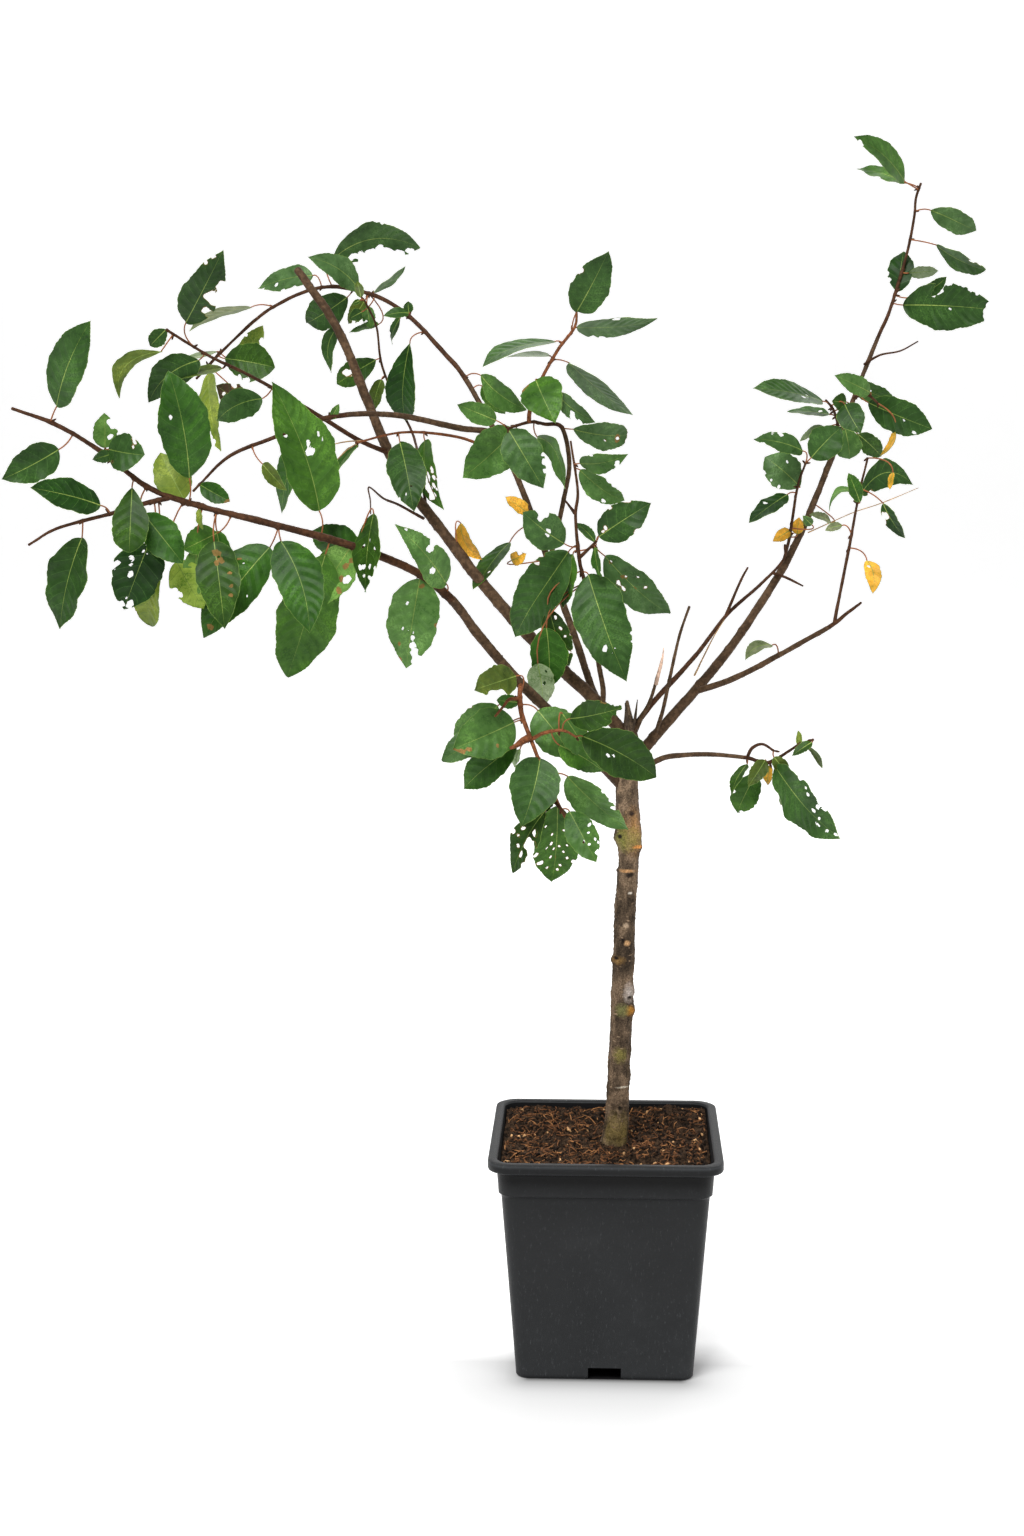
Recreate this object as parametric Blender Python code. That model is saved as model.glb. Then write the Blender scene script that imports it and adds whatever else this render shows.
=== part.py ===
"""Young mirabelle de Nancy tree, sparse and windblown to one side, in a square nursery pot.

Metres, +Z up, +X to the right and +Y to the back. The origin is the centre of the pot's flat underside.
The sizes below are in millimetres. Each shoot is a short row of points that it grows through, joined by one
smooth curve. Each leaf is a row of at least four numbers: where it sits along its shoot as a share of the
length, its bearing in the upright plane across the view in degrees (0 right, 90 up), its reach from the shoot
to its tip, and the width that it shows, negative where the blade bellies to the left of its bearing. How far
it leans out of that plane, along the line of sight from the viewpoint, and how far it turns about its midrib
follow by rule. A row can go on with a lean of its own as a share of the largest (None keeps the rule's), the
bow of the midrib as a share of the blade, the stalk's share of the reach, and the degrees by which the stalk
is turned from the blade.
"""
import math

import bmesh
import bpy
from mathutils import Matrix, Vector

MM = 0.001
GAP = 0.3
VIEWPOINT = Vector((0, -2343, 941))

# Pot: the outer and inner wall as rounded squares, each a height, half a side and a corner radius
LIP_HALF = 112.8
POT_HEIGHT = 223.5
POT_RINGS = (
    (0, 84.9, 11.0), (2, 86.4, 12.5), (186.5, 100.1, 15), (189, 102.7, 17), (210.5, 104.2, 18),
    (213, 110.8, 20), (215, LIP_HALF, 22), (222, LIP_HALF, 22), (POT_HEIGHT, 111.6, 21),
    (POT_HEIGHT, 105.2, 17), (221.5, 103.6, 16.5), (210, 102.0, 16), (190, 100.6, 15), (185, 98.0, 13),
    (3.6, 84.0, 10),
)
CORNER_STEPS = 6
NOTCH_WIDTH = 32
NOTCH_HEIGHT = 12.5
NOTCH_DEPTH = 24

# Compost: the pot's inside below the trunk's foot, and its own clearance to the wall
COMPOST_TOP = 211.7
COMPOST_RINGS = ((4, 83.6, 9.7), (185, 97.6, 12.7), (190, 100.2, 14.7), (COMPOST_TOP, 101.7, 15.7))

# Trunk: the points of its centre line, each with the trunk's diameter there. The last three are the dead stub
TRUNK = (
    (8, 0, 212, 27), (8.5, 0, 217, 25), (11, 0, 240, 22.5), (13, 0, 300, 21.6), (15, 0, 357, 21.2),
    (18, 0, 457, 20.4), (21, 0, 500, 20), (20.5, 0, 520, 24.5), (19, 0, 538, 24), (19, 0, 556, 21.5),
    (19, 0, 590, 20.5), (22, 0, 613, 17), (20, 0, 632, 10), (18, 0, 653, 2.6),
)

# Boughs: what each grows from, its diameters at root and tip, and its points
BOUGHS = {
    "bough_low_left": ("trunk", 11, 8.5, (
        (13, 0, 571), (-32, -36, 624), (-84, -78, 681), (-120, -105, 727), (-143, -122, 760))),
    "bough_left_cut": ("trunk", 13, 8, (
        (19, 0, 617), (-14, 10, 654), (-47, 22, 683), (-106, 42, 742), (-165, 62, 814), (-215, 82, 883),
        (-268, 108, 1005), (-311, 120, 1068))),
    "bough_arching": ("bough_left_cut", 7.5, 5.2, (
        (-7, 9, 647), (-16, 24, 662), (-32, 55, 706), (-46, 75, 742), (-77, 115, 825), (-106, 140, 890),
        (-146, 163, 960))),
    "bough_level_left": ("bough_arching", 6.5, 5.2, (
        (-105, 138, 890), (-120, 118, 908), (-150, 98, 913), (-198, 68, 924), (-228, 50, 927),
        (-255, 36, 926))),
    "bough_centre_back": ("bough_arching", 5, 4.2, (
        (-60, 94, 780), (-53, 92, 807), (-46, 89, 840), (-40, 86, 877), (-47, 82, 913))),
    "bough_centre_front": ("bough_left_cut", 5.2, 3.8, (
        (-6, 7, 645), (-5, -3, 664), (-9, -8, 687), (-15, -16, 728), (-23, -25, 769))),
    "bough_right": ("trunk", 11, 4, (
        (21, 0, 587), (36, 12, 606), (84, 45, 657), (117, 68, 694), (150, 92, 739), (186, 118, 797),
        (221, 145, 877), (245, 162, 940), (270, 175, 1003))),
    "bough_right_side": ("bough_right", 6.5, 4.2, (
        (84, 45, 657), (111, 20, 669), (132, 0, 681), (156, -20, 697), (206, -57, 731))),
    "bough_low_right": ("trunk", 6, 3.8, (
        (22, -2, 583), (39, -20, 594), (57, -35, 604), (92, -65, 611), (127, -91, 612))),
    "shoot_bare_short": ("bough_right", 4.2, 2.4, (
        (45, 17, 617), (52, 0, 642), (59, -12, 678), (67, -22, 718), (76, -30, 747))),
    "shoot_broken": ("trunk", 5, 2.2, (
        (23, -1, 617), (33, -6, 640), (41, -9, 657), (51, -18, 696))),
}

# Stems inside the masses of foliage: diameters at root and tip, points, and leaves
STEMS = {
    "low_left": (8.5, 3.4, (
        (-143, -122, 760), (-175, -138, 787), (-235, -160, 813), (-301, -178, 832), (-364, -195, 849),
        (-405, -202, 865), (-444, -208, 896), (-481, -215, 919), (-518, -221, 933)), (
        (.02, 129, 76, 29, None, 0, .13, -39), (.09, 261, 88, 47, None, 0, .04, -7),
        (.24, 264, 105, 21, -.3, 0, .33, 158), (.25, 235, 69, 38, .1, 0, .02, -102),
        (.3, 253, 131, -53, .55, 0, .11, -1), (.32, 111, 143, 48, None, 0, .16, -18),
        (.41, 287, 98, 42, -.55, -.07, .14, -9), (.41, 233, 122, 44, .3, 0, .17, 14),
        (.54, 276, 103, 38, -.55, 0, .26, -13), (.57, 268, 80, 21, .2, 0, .45, -7), (.58, 280, 21, 6),
        (.6, 100, 115, 45, -.55, 0, .19, -13), (.61, 116, 47, 32, .55, 0, .04, -34),
        (.69, 308, 78, 32, -.35, 0, .3, -45), (.72, 266, 65, 32, -.6, 0, .13, -12),
        (.8, 351, 38, 33, -.55, 0, .16, 36), (.8, 90, 35, 21, .2, 0, .13, -23),
        (.87, 207, 76, 31, None, 0, .25, 19), (.92, 67, 92, -31), (.21, 154, 61, 32, .6, 0, .12, 55),
        (.51, 206, 55, 27, -.1, 0, .39, 26), (.54, 280, 57, 19, .2, 0, .31, -12),
        (.61, 299, 103, 32, .3, 0, .53, -37), (.78, 196, 23, 11, -.3, 0, .21, -121))),
    "low_left_fork": (4.6, 2.2, (
        (-387, -200, 855), (-410, -206, 850), (-436, -214, 842), (-480, -226, 830), (-504, -234, 816)), (
        (.41, 167, 74, 28, None, 0, .16, -32), (.6, 255, 98, 34, None, 0, .15, 11),
        (.1, 248, 100, 44, .1, 0, .31, 17), (.07, 258, 113, 25, .5, 0, .35, 13))),
    "arching": (5.2, 2.6, (
        (-146, 163, 960), (-169, 180, 987), (-208, 205, 1026), (-247, 220, 1048), (-299, 230, 1056),
        (-351, 215, 1034), (-394, 200, 996), (-425, 185, 962)), (
        (.01, 322, 72, 24, None, 0, .24, 42), (.2, 264, 99, 28, None, 0, .2, -46),
        (.27, 187, 29, 11, None, 0, .1, -104), (.52, 6, 121, 39, None, -.23, .24, 82),
        (.4, 36, 45, 7, None, 0, .07, 11), (.44, 147, 61, 27, None, .06, .05, -36),
        (.41, 234, 38, 18, None, 0, .22, 5), (.41, 280, 36, 14, None, 0, .36, -17),
        (.46, 212, 62, 35, .6, 0, .16, 22), (.55, 194, 74, 23, .5, 0, .21, -63),
        (.7, 196, 90, 9, None, .07, .26, -16), (.9, 51, 62, 21, None, 0, .3, -71),
        (.91, 350, 60, 39, None, 0, .13, -13), (.96, 275, 82, 21, None, 0, .08, 12),
        (.95, 147, 93, 27, -1, 0, .67, 175), (.39, 208, 37, 13, -.6, 0, .59, 22),
        (.29, 248, 36, 8, None, 0, .21, -8), (.27, 94, 15, 10, None, 0, .19, -12),
        (.9, 196, 57, 6, -.3, 0, .07, -37), (.41, 195, 63, 7, None, 0, .5, 92))),
    "level_left": (5.2, 2.4, (
        (-255, 36, 926), (-281, 22, 921), (-323, 0, 904), (-362, -16, 887), (-394, -30, 855)), (
        (.58, 312, 52, 14, None, 0, .38, -12), (.1, 61, 19, 8, None, 0, .12, -121),
        (.95, 331, 33, 18, None, 0, .02, 17), (.32, 255, 84, 20, .7, 0, .21, 20))),
    "level_side": (3.6, 2, (
        (-97, 131, 872), (-112, 118, 886), (-147, 100, 903), (-201, 74, 909), (-248, 54, 899)), (
        (.75, 281, 73, 37, None, 0, .13, -2), (.6, 284, 77, 22, -.5, 0, .1, -9),
        (.97, 233, 42, 8, None, 0, .06, 25))),
    "cut_side": (5, 2.6, (
        (-217, 82, 888), (-246, 70, 901), (-277, 55, 921), (-336, 25, 958), (-382, 5, 982),
        (-420, -10, 1006)), (
        (.88, 61, 94, 36, None, 0, .23, 46), (.97, 224, 23, 16, None, 0, .02, -97),
        (.97, 224, 79, 16, None, .32, .26, 10), (.83, 219, 72, 32, .3, .12, .12, 7),
        (.74, 192, 54, 9, None, 0, .11, 29), (.54, 206, 64, 30, .2, .1, .22, 19))),
    "thin_upright": (3.4, 2, (
        (-181, 68, 839), (-189, 115, 873), (-204, 200, 906), (-224, 235, 940), (-238, 225, 978),
        (-241, 205, 1015), (-251, 185, 1041)), (
        (.78, 211, 53, 26, .1, 0, .09, -16), (.72, 256, 41, 14, None, 0, .14, -30),
        (.97, 206, 14, 5, None, 0, .34, -25), (.97, 104, 22, 9, None, 0, .21, 36))),
    "nodding_tip": (4.2, 2.4, (
        (-47, 82, 913), (-64, 72, 917), (-78, 62, 919), (-99, 42, 913)), (
        (.83, 222, 74, -43, .2, 0, .06, 32), (.97, 301, 67, 38, -.2, 0, .03, -6),
        (.49, 297, 71, 14, None, -.36, .21, -15), (.08, 354, 68, 27), (.97, 158, 54, 21, -.4, 0, .25, -13))),
    "centre_upright": (4.2, 2.4, (
        (-79, 60, 919), (-78, 60, 930), (-72, 62, 950), (-52, 65, 987), (-35, 67, 1010), (-33, 68, 1027)), (
        (.82, 62, 83, -36, None, 0, .23, 15), (.77, 4, 91, 17, None, 0, .13, 42),
        (.7, 197, 81, 11, None, .16, .1, -26), (.54, 320, 99, 19, None, 0, .17, 30),
        (.35, 295, 50, 41, -.9, 0, .09, -119), (.33, 325, 66, 18, None, 0, .31, 3),
        (.54, 180, 46, 5, None, 0, .1, -55))),
    "centre_front": (3.8, 2, (
        (-23, -25, 769), (-28, -28, 790), (-32, -30, 832), (-30, -28, 856), (-37, -24, 902)), (
        (.84, 8, 48, 19, None, 0, .11, -1), (.81, 323, 57, 21, None, 0, .09, 19),
        (.26, 143, 60, 35, None, 0, .22, 23), (.27, 236, 110, 43, None, 0, .1, -20),
        (.08, 289, 114, 51, -.4, 0, .05, 49), (.09, 289, 106, 27, .3, 0, .46, -57),
        (.23, 136, 43, 9, None, 0, .41, -108), (.06, 272, 115, 36, .2, 0, .49, -42),
        (.24, 261, 58, 19, .3, 0, .11, -40), (.06, 278, 131, 26, -.5, 0, .68, -38))),
    "centre_front_spur": (3.6, 2.4, (
        (-28, -28, 793), (-20, -34, 801), (-12, -40, 809)), (
        (.97, 33, 62, 34, -.2, 0, .08, 30), (.79, 317, 99, 33), (.82, 281, 35, 8, None, 0, .09, 14))),
    "right_top": (3.8, 2.4, (
        (270, 175, 1003), (281, 179, 1028), (298, 190, 1083), (306, 198, 1122), (308, 202, 1142),
        (313, 205, 1157)), (
        (.96, 138, 82, 22, None, 0, .21, 12), (.82, 334, 68, 23, None, -.05, .24, 29),
        (.64, 334, 82, 17, None, 0, .33, 15), (.3, 83, 43, 26, None, 0, .06, -55),
        (.43, 5, 37, 12, None, 0, .19, -11), (.23, 357, 105, 46, None, 0, .11, -8),
        (.97, 165, 66, 13, None, 0, .24, -4), (.28, 31, 56, 13, None, 0, .44, -28))),
    "right_inner": (3.4, 2.2, (
        (174, 110, 781), (179, 98, 807), (184, 80, 854), (191, 70, 879)), (
        (.7, 216, 54, 17, None, 0, .17, -24), (.76, 140, 48, 35, None, 0, .05, -137),
        (.97, 167, 61, 19, None, 0, .2, -63), (.97, 46, 49, 33, .4), (.33, 213, 21, 12, None, 0, .04, -11),
        (.35, 136, 31, 9, None, 0, .61, -125), (.26, 84, 25, 12, None, 0, .32, -65))),
    "right_spur_left": (3.4, 2.2, (
        (231, 153, 902), (228, 138, 916), (222, 128, 931), (214, 120, 940)), (
        (.77, 170, 80, 17, None, 0, .15, -22), (.57, 176, 49, 9, None, 0, .14, -13),
        (.69, 176, 28, 17, None, 0, .51, -138), (.35, 280, 39, 27, None, 0, .19, 58),
        (.39, 205, 41, 10, None, 0, .3, -6), (.82, 300, 46, 27, None, 0, .29, 71))),
    "right_spur_right": (3.4, 2.2, (
        (245, 162, 942), (254, 150, 946), (260, 142, 944), (267, 134, 937)), (
        (.67, 155, 43, 19, None, 0, .08, -59), (.3, 338, 59, 20, None, 0, .22, 117),
        (.3, 338, 80, 34, None, 0, .14, -20), (.3, 317, 70, 20, None, 0, .5, -38),
        (.97, 240, 61, 6, None, -.36, .53, 62))),
    "right_side": (4.2, 2.4, (
        (206, -57, 731), (220, -68, 744), (233, -76, 755)), ()),
    "right_side_fork": (3.4, 2, (
        (210, -61, 735), (215, -50, 757), (227, -30, 813), (232, -20, 838), (236, -12, 856), (244, 0, 886)), (
        (.45, 281, 50, 15, None, -.1, .4, 48), (.8, 216, 35, 6, None, .71, .13, -22),
        (.72, 113, 32, 13, None, 0, .08, -89), (.78, 9, 52, 27, None, -.27, .04, -1),
        (.81, 304, 65, 13, None, 0, .4, 24), (.97, 262, 42, 6, None, 0, .62, 71),
        (.53, 197, 29, 8, None, 0, .43, -62))),
    "low_right": (3.8, 2, (
        (127, -91, 612), (138, -98, 610), (150, -105, 610), (174, -120, 628), (187, -127, 634)), (
        (.38, 309, 91, 31, None, 0, .05, -7), (.23, 245, 53, 26, None, 0, .21, 3),
        (.29, 238, 32, 15, None, 0, .09, -130), (.34, 264, 22, 9, None, 0, .13, 9),
        (.9, 299, 29, 5, None, -.39), (.4, 300, 28, 7, None, 0, .3, 1), (.43, 278, 54, 9, None, 0, .53, 11),
        (.97, 216, 24, 9, None, 0, .09, 41), (.78, 86, 14, 5, None, 0, .03, 25))),
    "low_right_spur": (3.4, 2.2, (
        (129, -92, 612), (133, -100, 622), (142, -108, 627), (152, -115, 622)), (
        (0, 240, 36, 9, None, 0, .17, 33), (.97, 307, 29, 13, None, 0, .21, -33))),
    "fork_hanging": (5, 2, (
        (-82, -77, 679), (-82, -98, 668), (-79, -112, 652), (-68, -127, 626), (-57, -136, 600),
        (-38, -146, 563), (-14, -153, 528)), (
        (.24, 211, 85, 28, .1, 0, .16, -7), (.35, 219, 80, 31, .3, 0, .19, -9),
        (.46, 255, 67, 46, None, 0, .03, 101), (.7, 266, 75, 42, None, 0, .02, -27),
        (.68, 244, 79, 26, .2, 0, .19, -19), (.73, 298, 59, 28, None, 0, .14, 53),
        (.55, 319, 95, 30, None, 0, .21, 39), (.6, 254, 29, 18, .3, 0, .04, -1),
        (.17, 308, 75, 41, -.35, 0, .23, 35), (.25, 204, 70, 46, -.6, 0, .13, -5),
        (.12, 223, 78, 33, .6, 0, .28, -20), (.36, 249, 32, 7, None, 0, .43, -24))),
    "fork_hanging_right": (4, 2, (
        (-71, -124, 632), (-58, -134, 640), (-41, -140, 643), (-29, -146, 638)), (
        (.71, 12, 60, 27, None, 0, .23, 42), (.97, 331, 83, 42, None, 0, .07, 35),
        (.64, 303, 64, 29, .4, 0, .23, 137), (.49, 329, 64, 26, .5, 0, .24, -27))),
    "fork_hanging_left": (3.6, 2, (
        (-83, -100, 667), (-91, -114, 668), (-96, -124, 663), (-103, -134, 655)), (
        (0, 199, 65, 30, None, 0, .38, -100), (0, 175, 26, 13, .4, 0, .14, 113))),
    "bare_right": (6, 2.4, (
        (21, 3, 622), (44, 12, 651), (86, 30, 696), (115, 44, 733), (146, 54, 760), (170, 64, 785),
        (172, 67, 800)), ()),
    "bare_right_side": (3.2, 2, (
        (114, 44, 732), (122, 38, 753), (129, 34, 770), (134, 30, 780)), ()),
}

# Masses: the bough that each grows from, whether it runs on from that bough's tip, and its stems, main first
MASSES = {
    "foliage_low_left": ("bough_low_left", True, ("low_left", "low_left_fork")),
    "foliage_arching": ("bough_arching", True, ("arching",)),
    "foliage_level_left": ("bough_level_left", True, ("level_left",)),
    "foliage_level_side": ("bough_arching", False, ("level_side",)),
    "foliage_cut_side": ("bough_left_cut", False, ("cut_side",)),
    "foliage_thin_upright": ("bough_left_cut", False, ("thin_upright",)),
    "foliage_centre_top": ("bough_centre_back", True, ("nodding_tip", "centre_upright")),
    "foliage_centre_front": ("bough_centre_front", True, ("centre_front", "centre_front_spur")),
    "foliage_fork": ("bough_low_left", False, ("fork_hanging", "fork_hanging_right", "fork_hanging_left")),
    "foliage_right_top": ("bough_right", True, ("right_top",)),
    "foliage_right_inner": ("bough_right", False, ("right_inner",)),
    "foliage_right_spur_left": ("bough_right", False, ("right_spur_left",)),
    "foliage_right_spur_right": ("bough_right", False, ("right_spur_right",)),
    "foliage_right_side": ("bough_right_side", True, ("right_side", "right_side_fork")),
    "foliage_low_right": ("bough_low_right", True, ("low_right", "low_right_spur")),
    "twigs_bare_right": ("trunk", False, ("bare_right", "bare_right_side")),
}

# Leaf form, as shares of the blade's own length unless they say otherwise
PETIOLE_SHARE = 0.16            # of the reach
FULL_REACH = 122                # mm: a leaf that shows shorter than this leans out of the picture plane
MOST_LEAN = 38                  # degrees
GOLDEN = 0.618
NATURAL_WIDTH = 0.5
BLADE_STATIONS = (0.10, 0.38, 0.72, 0.985)
BASE_POWER = 0.62
TIP_POWER = 0.80
CAMBER = 0.06
FOLD = 0.22                     # rise of the edges over the half width
THICKNESS = 0.018
LEAST_THICKNESS = 1.3           # mm
STALK_HALF = 0.9                # mm
BASE_HALF = 1.15                # mm: the blade's foot, round the stalk's end
TOWARDS_VIEW = Vector((0, -1, 0))

COLOURS = {
    "pot": ((0.035, 0.038, 0.042), 0.6),
    "compost": ((0.05, 0.028, 0.016), 0.95),
    "trunk": ((0.16, 0.12, 0.085), 0.85),
    "bough": ((0.075, 0.045, 0.032), 0.75),
    "shoot": ((0.10, 0.045, 0.03), 0.75),
    "foliage": ((0.04, 0.12, 0.045), 0.5),
    "twigs": ((0.09, 0.05, 0.035), 0.75),
}


def new_collection(name):
    """A collection linked to the scene."""
    collection = bpy.data.collections.new(name)
    bpy.context.scene.collection.children.link(collection)
    return collection


def link_mesh(name, mesh, collection):
    """An object for a mesh, in its collection."""
    piece = bpy.data.objects.new(name, mesh)
    collection.objects.link(piece)
    return piece


def finish(piece):
    """The piece's own material, chosen by the first word of its name."""
    colour, roughness = COLOURS[piece.name.split("_")[0]]
    material = bpy.data.materials.new(piece.name)
    material.use_nodes = True
    shader = material.node_tree.nodes["Principled BSDF"]
    shader.inputs["Base Color"].default_value = (*colour, 1)
    shader.inputs["Roughness"].default_value = roughness
    piece.data.materials.clear()
    piece.data.materials.append(material)


def boolean(piece, operation, cutter):
    """A live Boolean against another object."""
    modifier = piece.modifiers.new(operation.lower(), "BOOLEAN")
    modifier.operation = operation
    modifier.object = cutter


def hide_cutter(piece):
    """Cutters show as wires only."""
    piece.hide_render = True
    piece.display_type = "WIRE"


# Lofted pieces: the pot and the compost

def rounded_square(height, half, radius):
    """Points of a square with round corners, anticlockwise from the +X side's end."""
    centre = half - radius
    points = []
    for quarter, (sx, sy) in enumerate(((1, 1), (-1, 1), (-1, -1), (1, -1))):
        for step in range(CORNER_STEPS + 1):
            angle = math.radians(90) * (quarter + step / CORNER_STEPS)
            x = sx * centre + radius * math.cos(angle)
            y = sy * centre + radius * math.sin(angle)
            points.append(Vector((x, y, height)) * MM)
    return points


def loft(name, rings, collection):
    """A closed solid through rings of equal count, with flat ends."""
    shape = bmesh.new()
    loops = [[shape.verts.new(point) for point in ring] for ring in rings]
    for lower, upper in zip(loops, loops[1:]):
        for index in range(len(lower)):
            after = (index + 1) % len(lower)
            shape.faces.new((lower[index], lower[after], upper[after], upper[index]))
    shape.faces.new(list(reversed(loops[0])))
    shape.faces.new(loops[-1])
    bmesh.ops.recalc_face_normals(shape, faces=shape.faces)
    mesh = bpy.data.meshes.new(name)
    shape.to_mesh(mesh)
    shape.free()
    return link_mesh(name, mesh, collection)


def notch_cutters(name, clearance, collection):
    """Four boxes that open the bottom edge in the middle of each side."""
    half = POT_RINGS[1][1]
    cutters = []
    for side in range(4):
        bpy.ops.mesh.primitive_cube_add(size=1)
        box = bpy.context.object
        box.name = f"{name}_{side}"
        size = 2 * Vector((NOTCH_WIDTH / 2 + clearance, NOTCH_DEPTH + clearance, NOTCH_HEIGHT + clearance))
        turn = Matrix.Rotation(math.radians(90) * side, 4, "Z")
        place = Matrix.Translation(Vector((0, -half, 0)) * MM)
        box.data.transform(turn @ place @ Matrix.Diagonal((*(size * MM), 1)))
        for holder in box.users_collection:
            holder.objects.unlink(box)
        collection.objects.link(box)
        hide_cutter(box)
        cutters.append(box)
    return cutters


def make_pot(parts, cutters):
    """One wall, lip and floor, with a drain notch in each side's foot."""
    pot = loft("pot", [rounded_square(*ring) for ring in POT_RINGS], parts)
    for box in notch_cutters("pot_notch", 0, cutters):
        boolean(pot, "DIFFERENCE", box)
    compost = loft("compost", [rounded_square(*ring) for ring in COMPOST_RINGS], parts)
    for box in notch_cutters("compost_notch", GAP, cutters):
        boolean(compost, "DIFFERENCE", box)
    finish(pot)
    finish(compost)


# Limbs

def smooth_path(points, steps):
    """A Catmull-Rom curve through the points, with a number of steps between each two."""
    padded = [2 * points[0] - points[1], *points, 2 * points[-1] - points[-2]]
    path = []
    for before, start, end, after in zip(padded, padded[1:], padded[2:], padded[3:]):
        for step in range(steps):
            t = step / steps
            square = 2 * before - 5 * start + 4 * end - after
            cube = 3 * start - before - 3 * end + after
            path.append(0.5 * (2 * start + (end - before) * t + square * t ** 2 + cube * t ** 3))
    return [*path, points[-1]]


def shares(path):
    """How far along its length each point of a path lies, from 0 to 1."""
    runs = [0.0]
    for start, end in zip(path, path[1:]):
        runs.append(runs[-1] + (end - start).length)
    return [run / runs[-1] for run in runs]


def tube(name, path, diameters, corners, collection, grow=0.0):
    """A tube of changing diameter along a path, as a closed mesh with flat ends."""
    curve = bpy.data.curves.new(name, "CURVE")
    curve.dimensions = "3D"
    curve.bevel_depth = 1.0
    curve.bevel_resolution = (corners - 4) // 2
    curve.use_fill_caps = True
    spline = curve.splines.new("POLY")
    spline.points.add(len(path) - 1)
    for point, place, diameter in zip(spline.points, path, diameters):
        point.co = (*(place * MM), 1)
        point.radius = (diameter / 2 + grow) * MM
    guide = bpy.data.objects.new(name, curve)
    bpy.context.scene.collection.objects.link(guide)
    evaluated = guide.evaluated_get(bpy.context.evaluated_depsgraph_get())
    mesh = bpy.data.meshes.new_from_object(evaluated)
    shape = bmesh.new()
    shape.from_mesh(mesh)
    bmesh.ops.remove_doubles(shape, verts=shape.verts, dist=0.02 * MM)
    bmesh.ops.recalc_face_normals(shape, faces=shape.faces)
    shape.to_mesh(mesh)
    shape.free()
    mesh.shade_smooth()
    bpy.data.objects.remove(guide)
    return link_mesh(name, mesh, collection)


def tapered(path, root, tip):
    """Diameters that fall evenly along a path."""
    return [root + (tip - root) * share for share in shares(path)]


def joint_ends(first, second):
    """Two paths that share an end, cut square and a gap apart along their common direction."""
    meeting = first[-1]
    along = (second[1] - first[-2]).normalized()
    square = 1.5
    first = [*first[:-1], meeting - along * square, meeting - along * GAP / 2]
    second = [meeting + along * GAP / 2, meeting + along * square, *second[1:]]
    return first, second


def vectors(rows):
    """Rows of three numbers as vectors."""
    return [Vector(row[:3]) for row in rows]


def continuing_stem(bough):
    """The stem that runs on from a bough's tip, or None."""
    for parent, runs_on, stems in MASSES.values():
        if parent == bough and runs_on:
            return stems[0]
    return None


def limb_paths():
    """The centre line of the trunk, each bough and each stem."""
    trunk_steps = 2
    bough_steps = 3
    stem_steps = 2
    trunk = smooth_path(vectors(TRUNK), trunk_steps)
    trunk[1].xy = trunk[0].xy        # the foot is cut level
    paths = {"trunk": trunk}
    for name, (_, _, _, points) in BOUGHS.items():
        stem = continuing_stem(name)
        if stem is None:
            paths[name] = smooth_path(vectors(points), bough_steps)
            continue
        whole = smooth_path(vectors(points) + vectors(STEMS[stem][2])[1:], bough_steps)
        split = (len(points) - 1) * bough_steps
        paths[name], paths[stem] = joint_ends(whole[:split + 1], whole[split:])
    for name, (_, _, points, _) in STEMS.items():
        if name not in paths:
            paths[name] = smooth_path(vectors(points), stem_steps)
    return paths


def trunk_diameters(path):
    """The trunk's diameters at its path's points, read between the rows by height."""
    heights = [row[2] for row in TRUNK]
    diameters = []
    for point in path:
        above = (i for i, height in enumerate(heights) if height >= point.z - 1e-6)
        index = max(1, next(above, len(heights) - 1))
        low, high = TRUNK[index - 1], TRUNK[index]
        t = min(1, max(0, (point.z - low[2]) / (high[2] - low[2])))
        diameters.append(low[3] + (high[3] - low[3]) * t)
    return diameters


def make_limbs(paths, parts, cutters):
    """The trunk and the boughs, each cut clear of what it grows from. Returns the grown copies that cut."""
    trunk_corners = 12
    bough_corners = 8
    diameters = {"trunk": trunk_diameters(paths["trunk"])}
    for name, (_, root, tip, _) in BOUGHS.items():
        diameters[name] = tapered(paths[name], root, tip)
    grown = {}
    for name in ("trunk", *BOUGHS):
        corners = trunk_corners if name == "trunk" else bough_corners
        piece = tube(name, paths[name], diameters[name], corners, parts)
        if name in BOUGHS:
            boolean(piece, "DIFFERENCE", grown[BOUGHS[name][0]])
        finish(piece)
        grown[name] = tube(f"{name}_clearance", paths[name], diameters[name], corners, cutters, GAP)
        hide_cutter(grown[name])
    return grown


# Leaves

def blade_half_width(share, width):
    """Half the blade's width at a share of its length: round at the base and drawn out at the tip."""
    widest = BASE_POWER / (BASE_POWER + TIP_POWER)
    peak = widest ** BASE_POWER * (1 - widest) ** TIP_POWER
    return width / 2 * share ** BASE_POWER * (1 - share) ** TIP_POWER / peak


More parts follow.
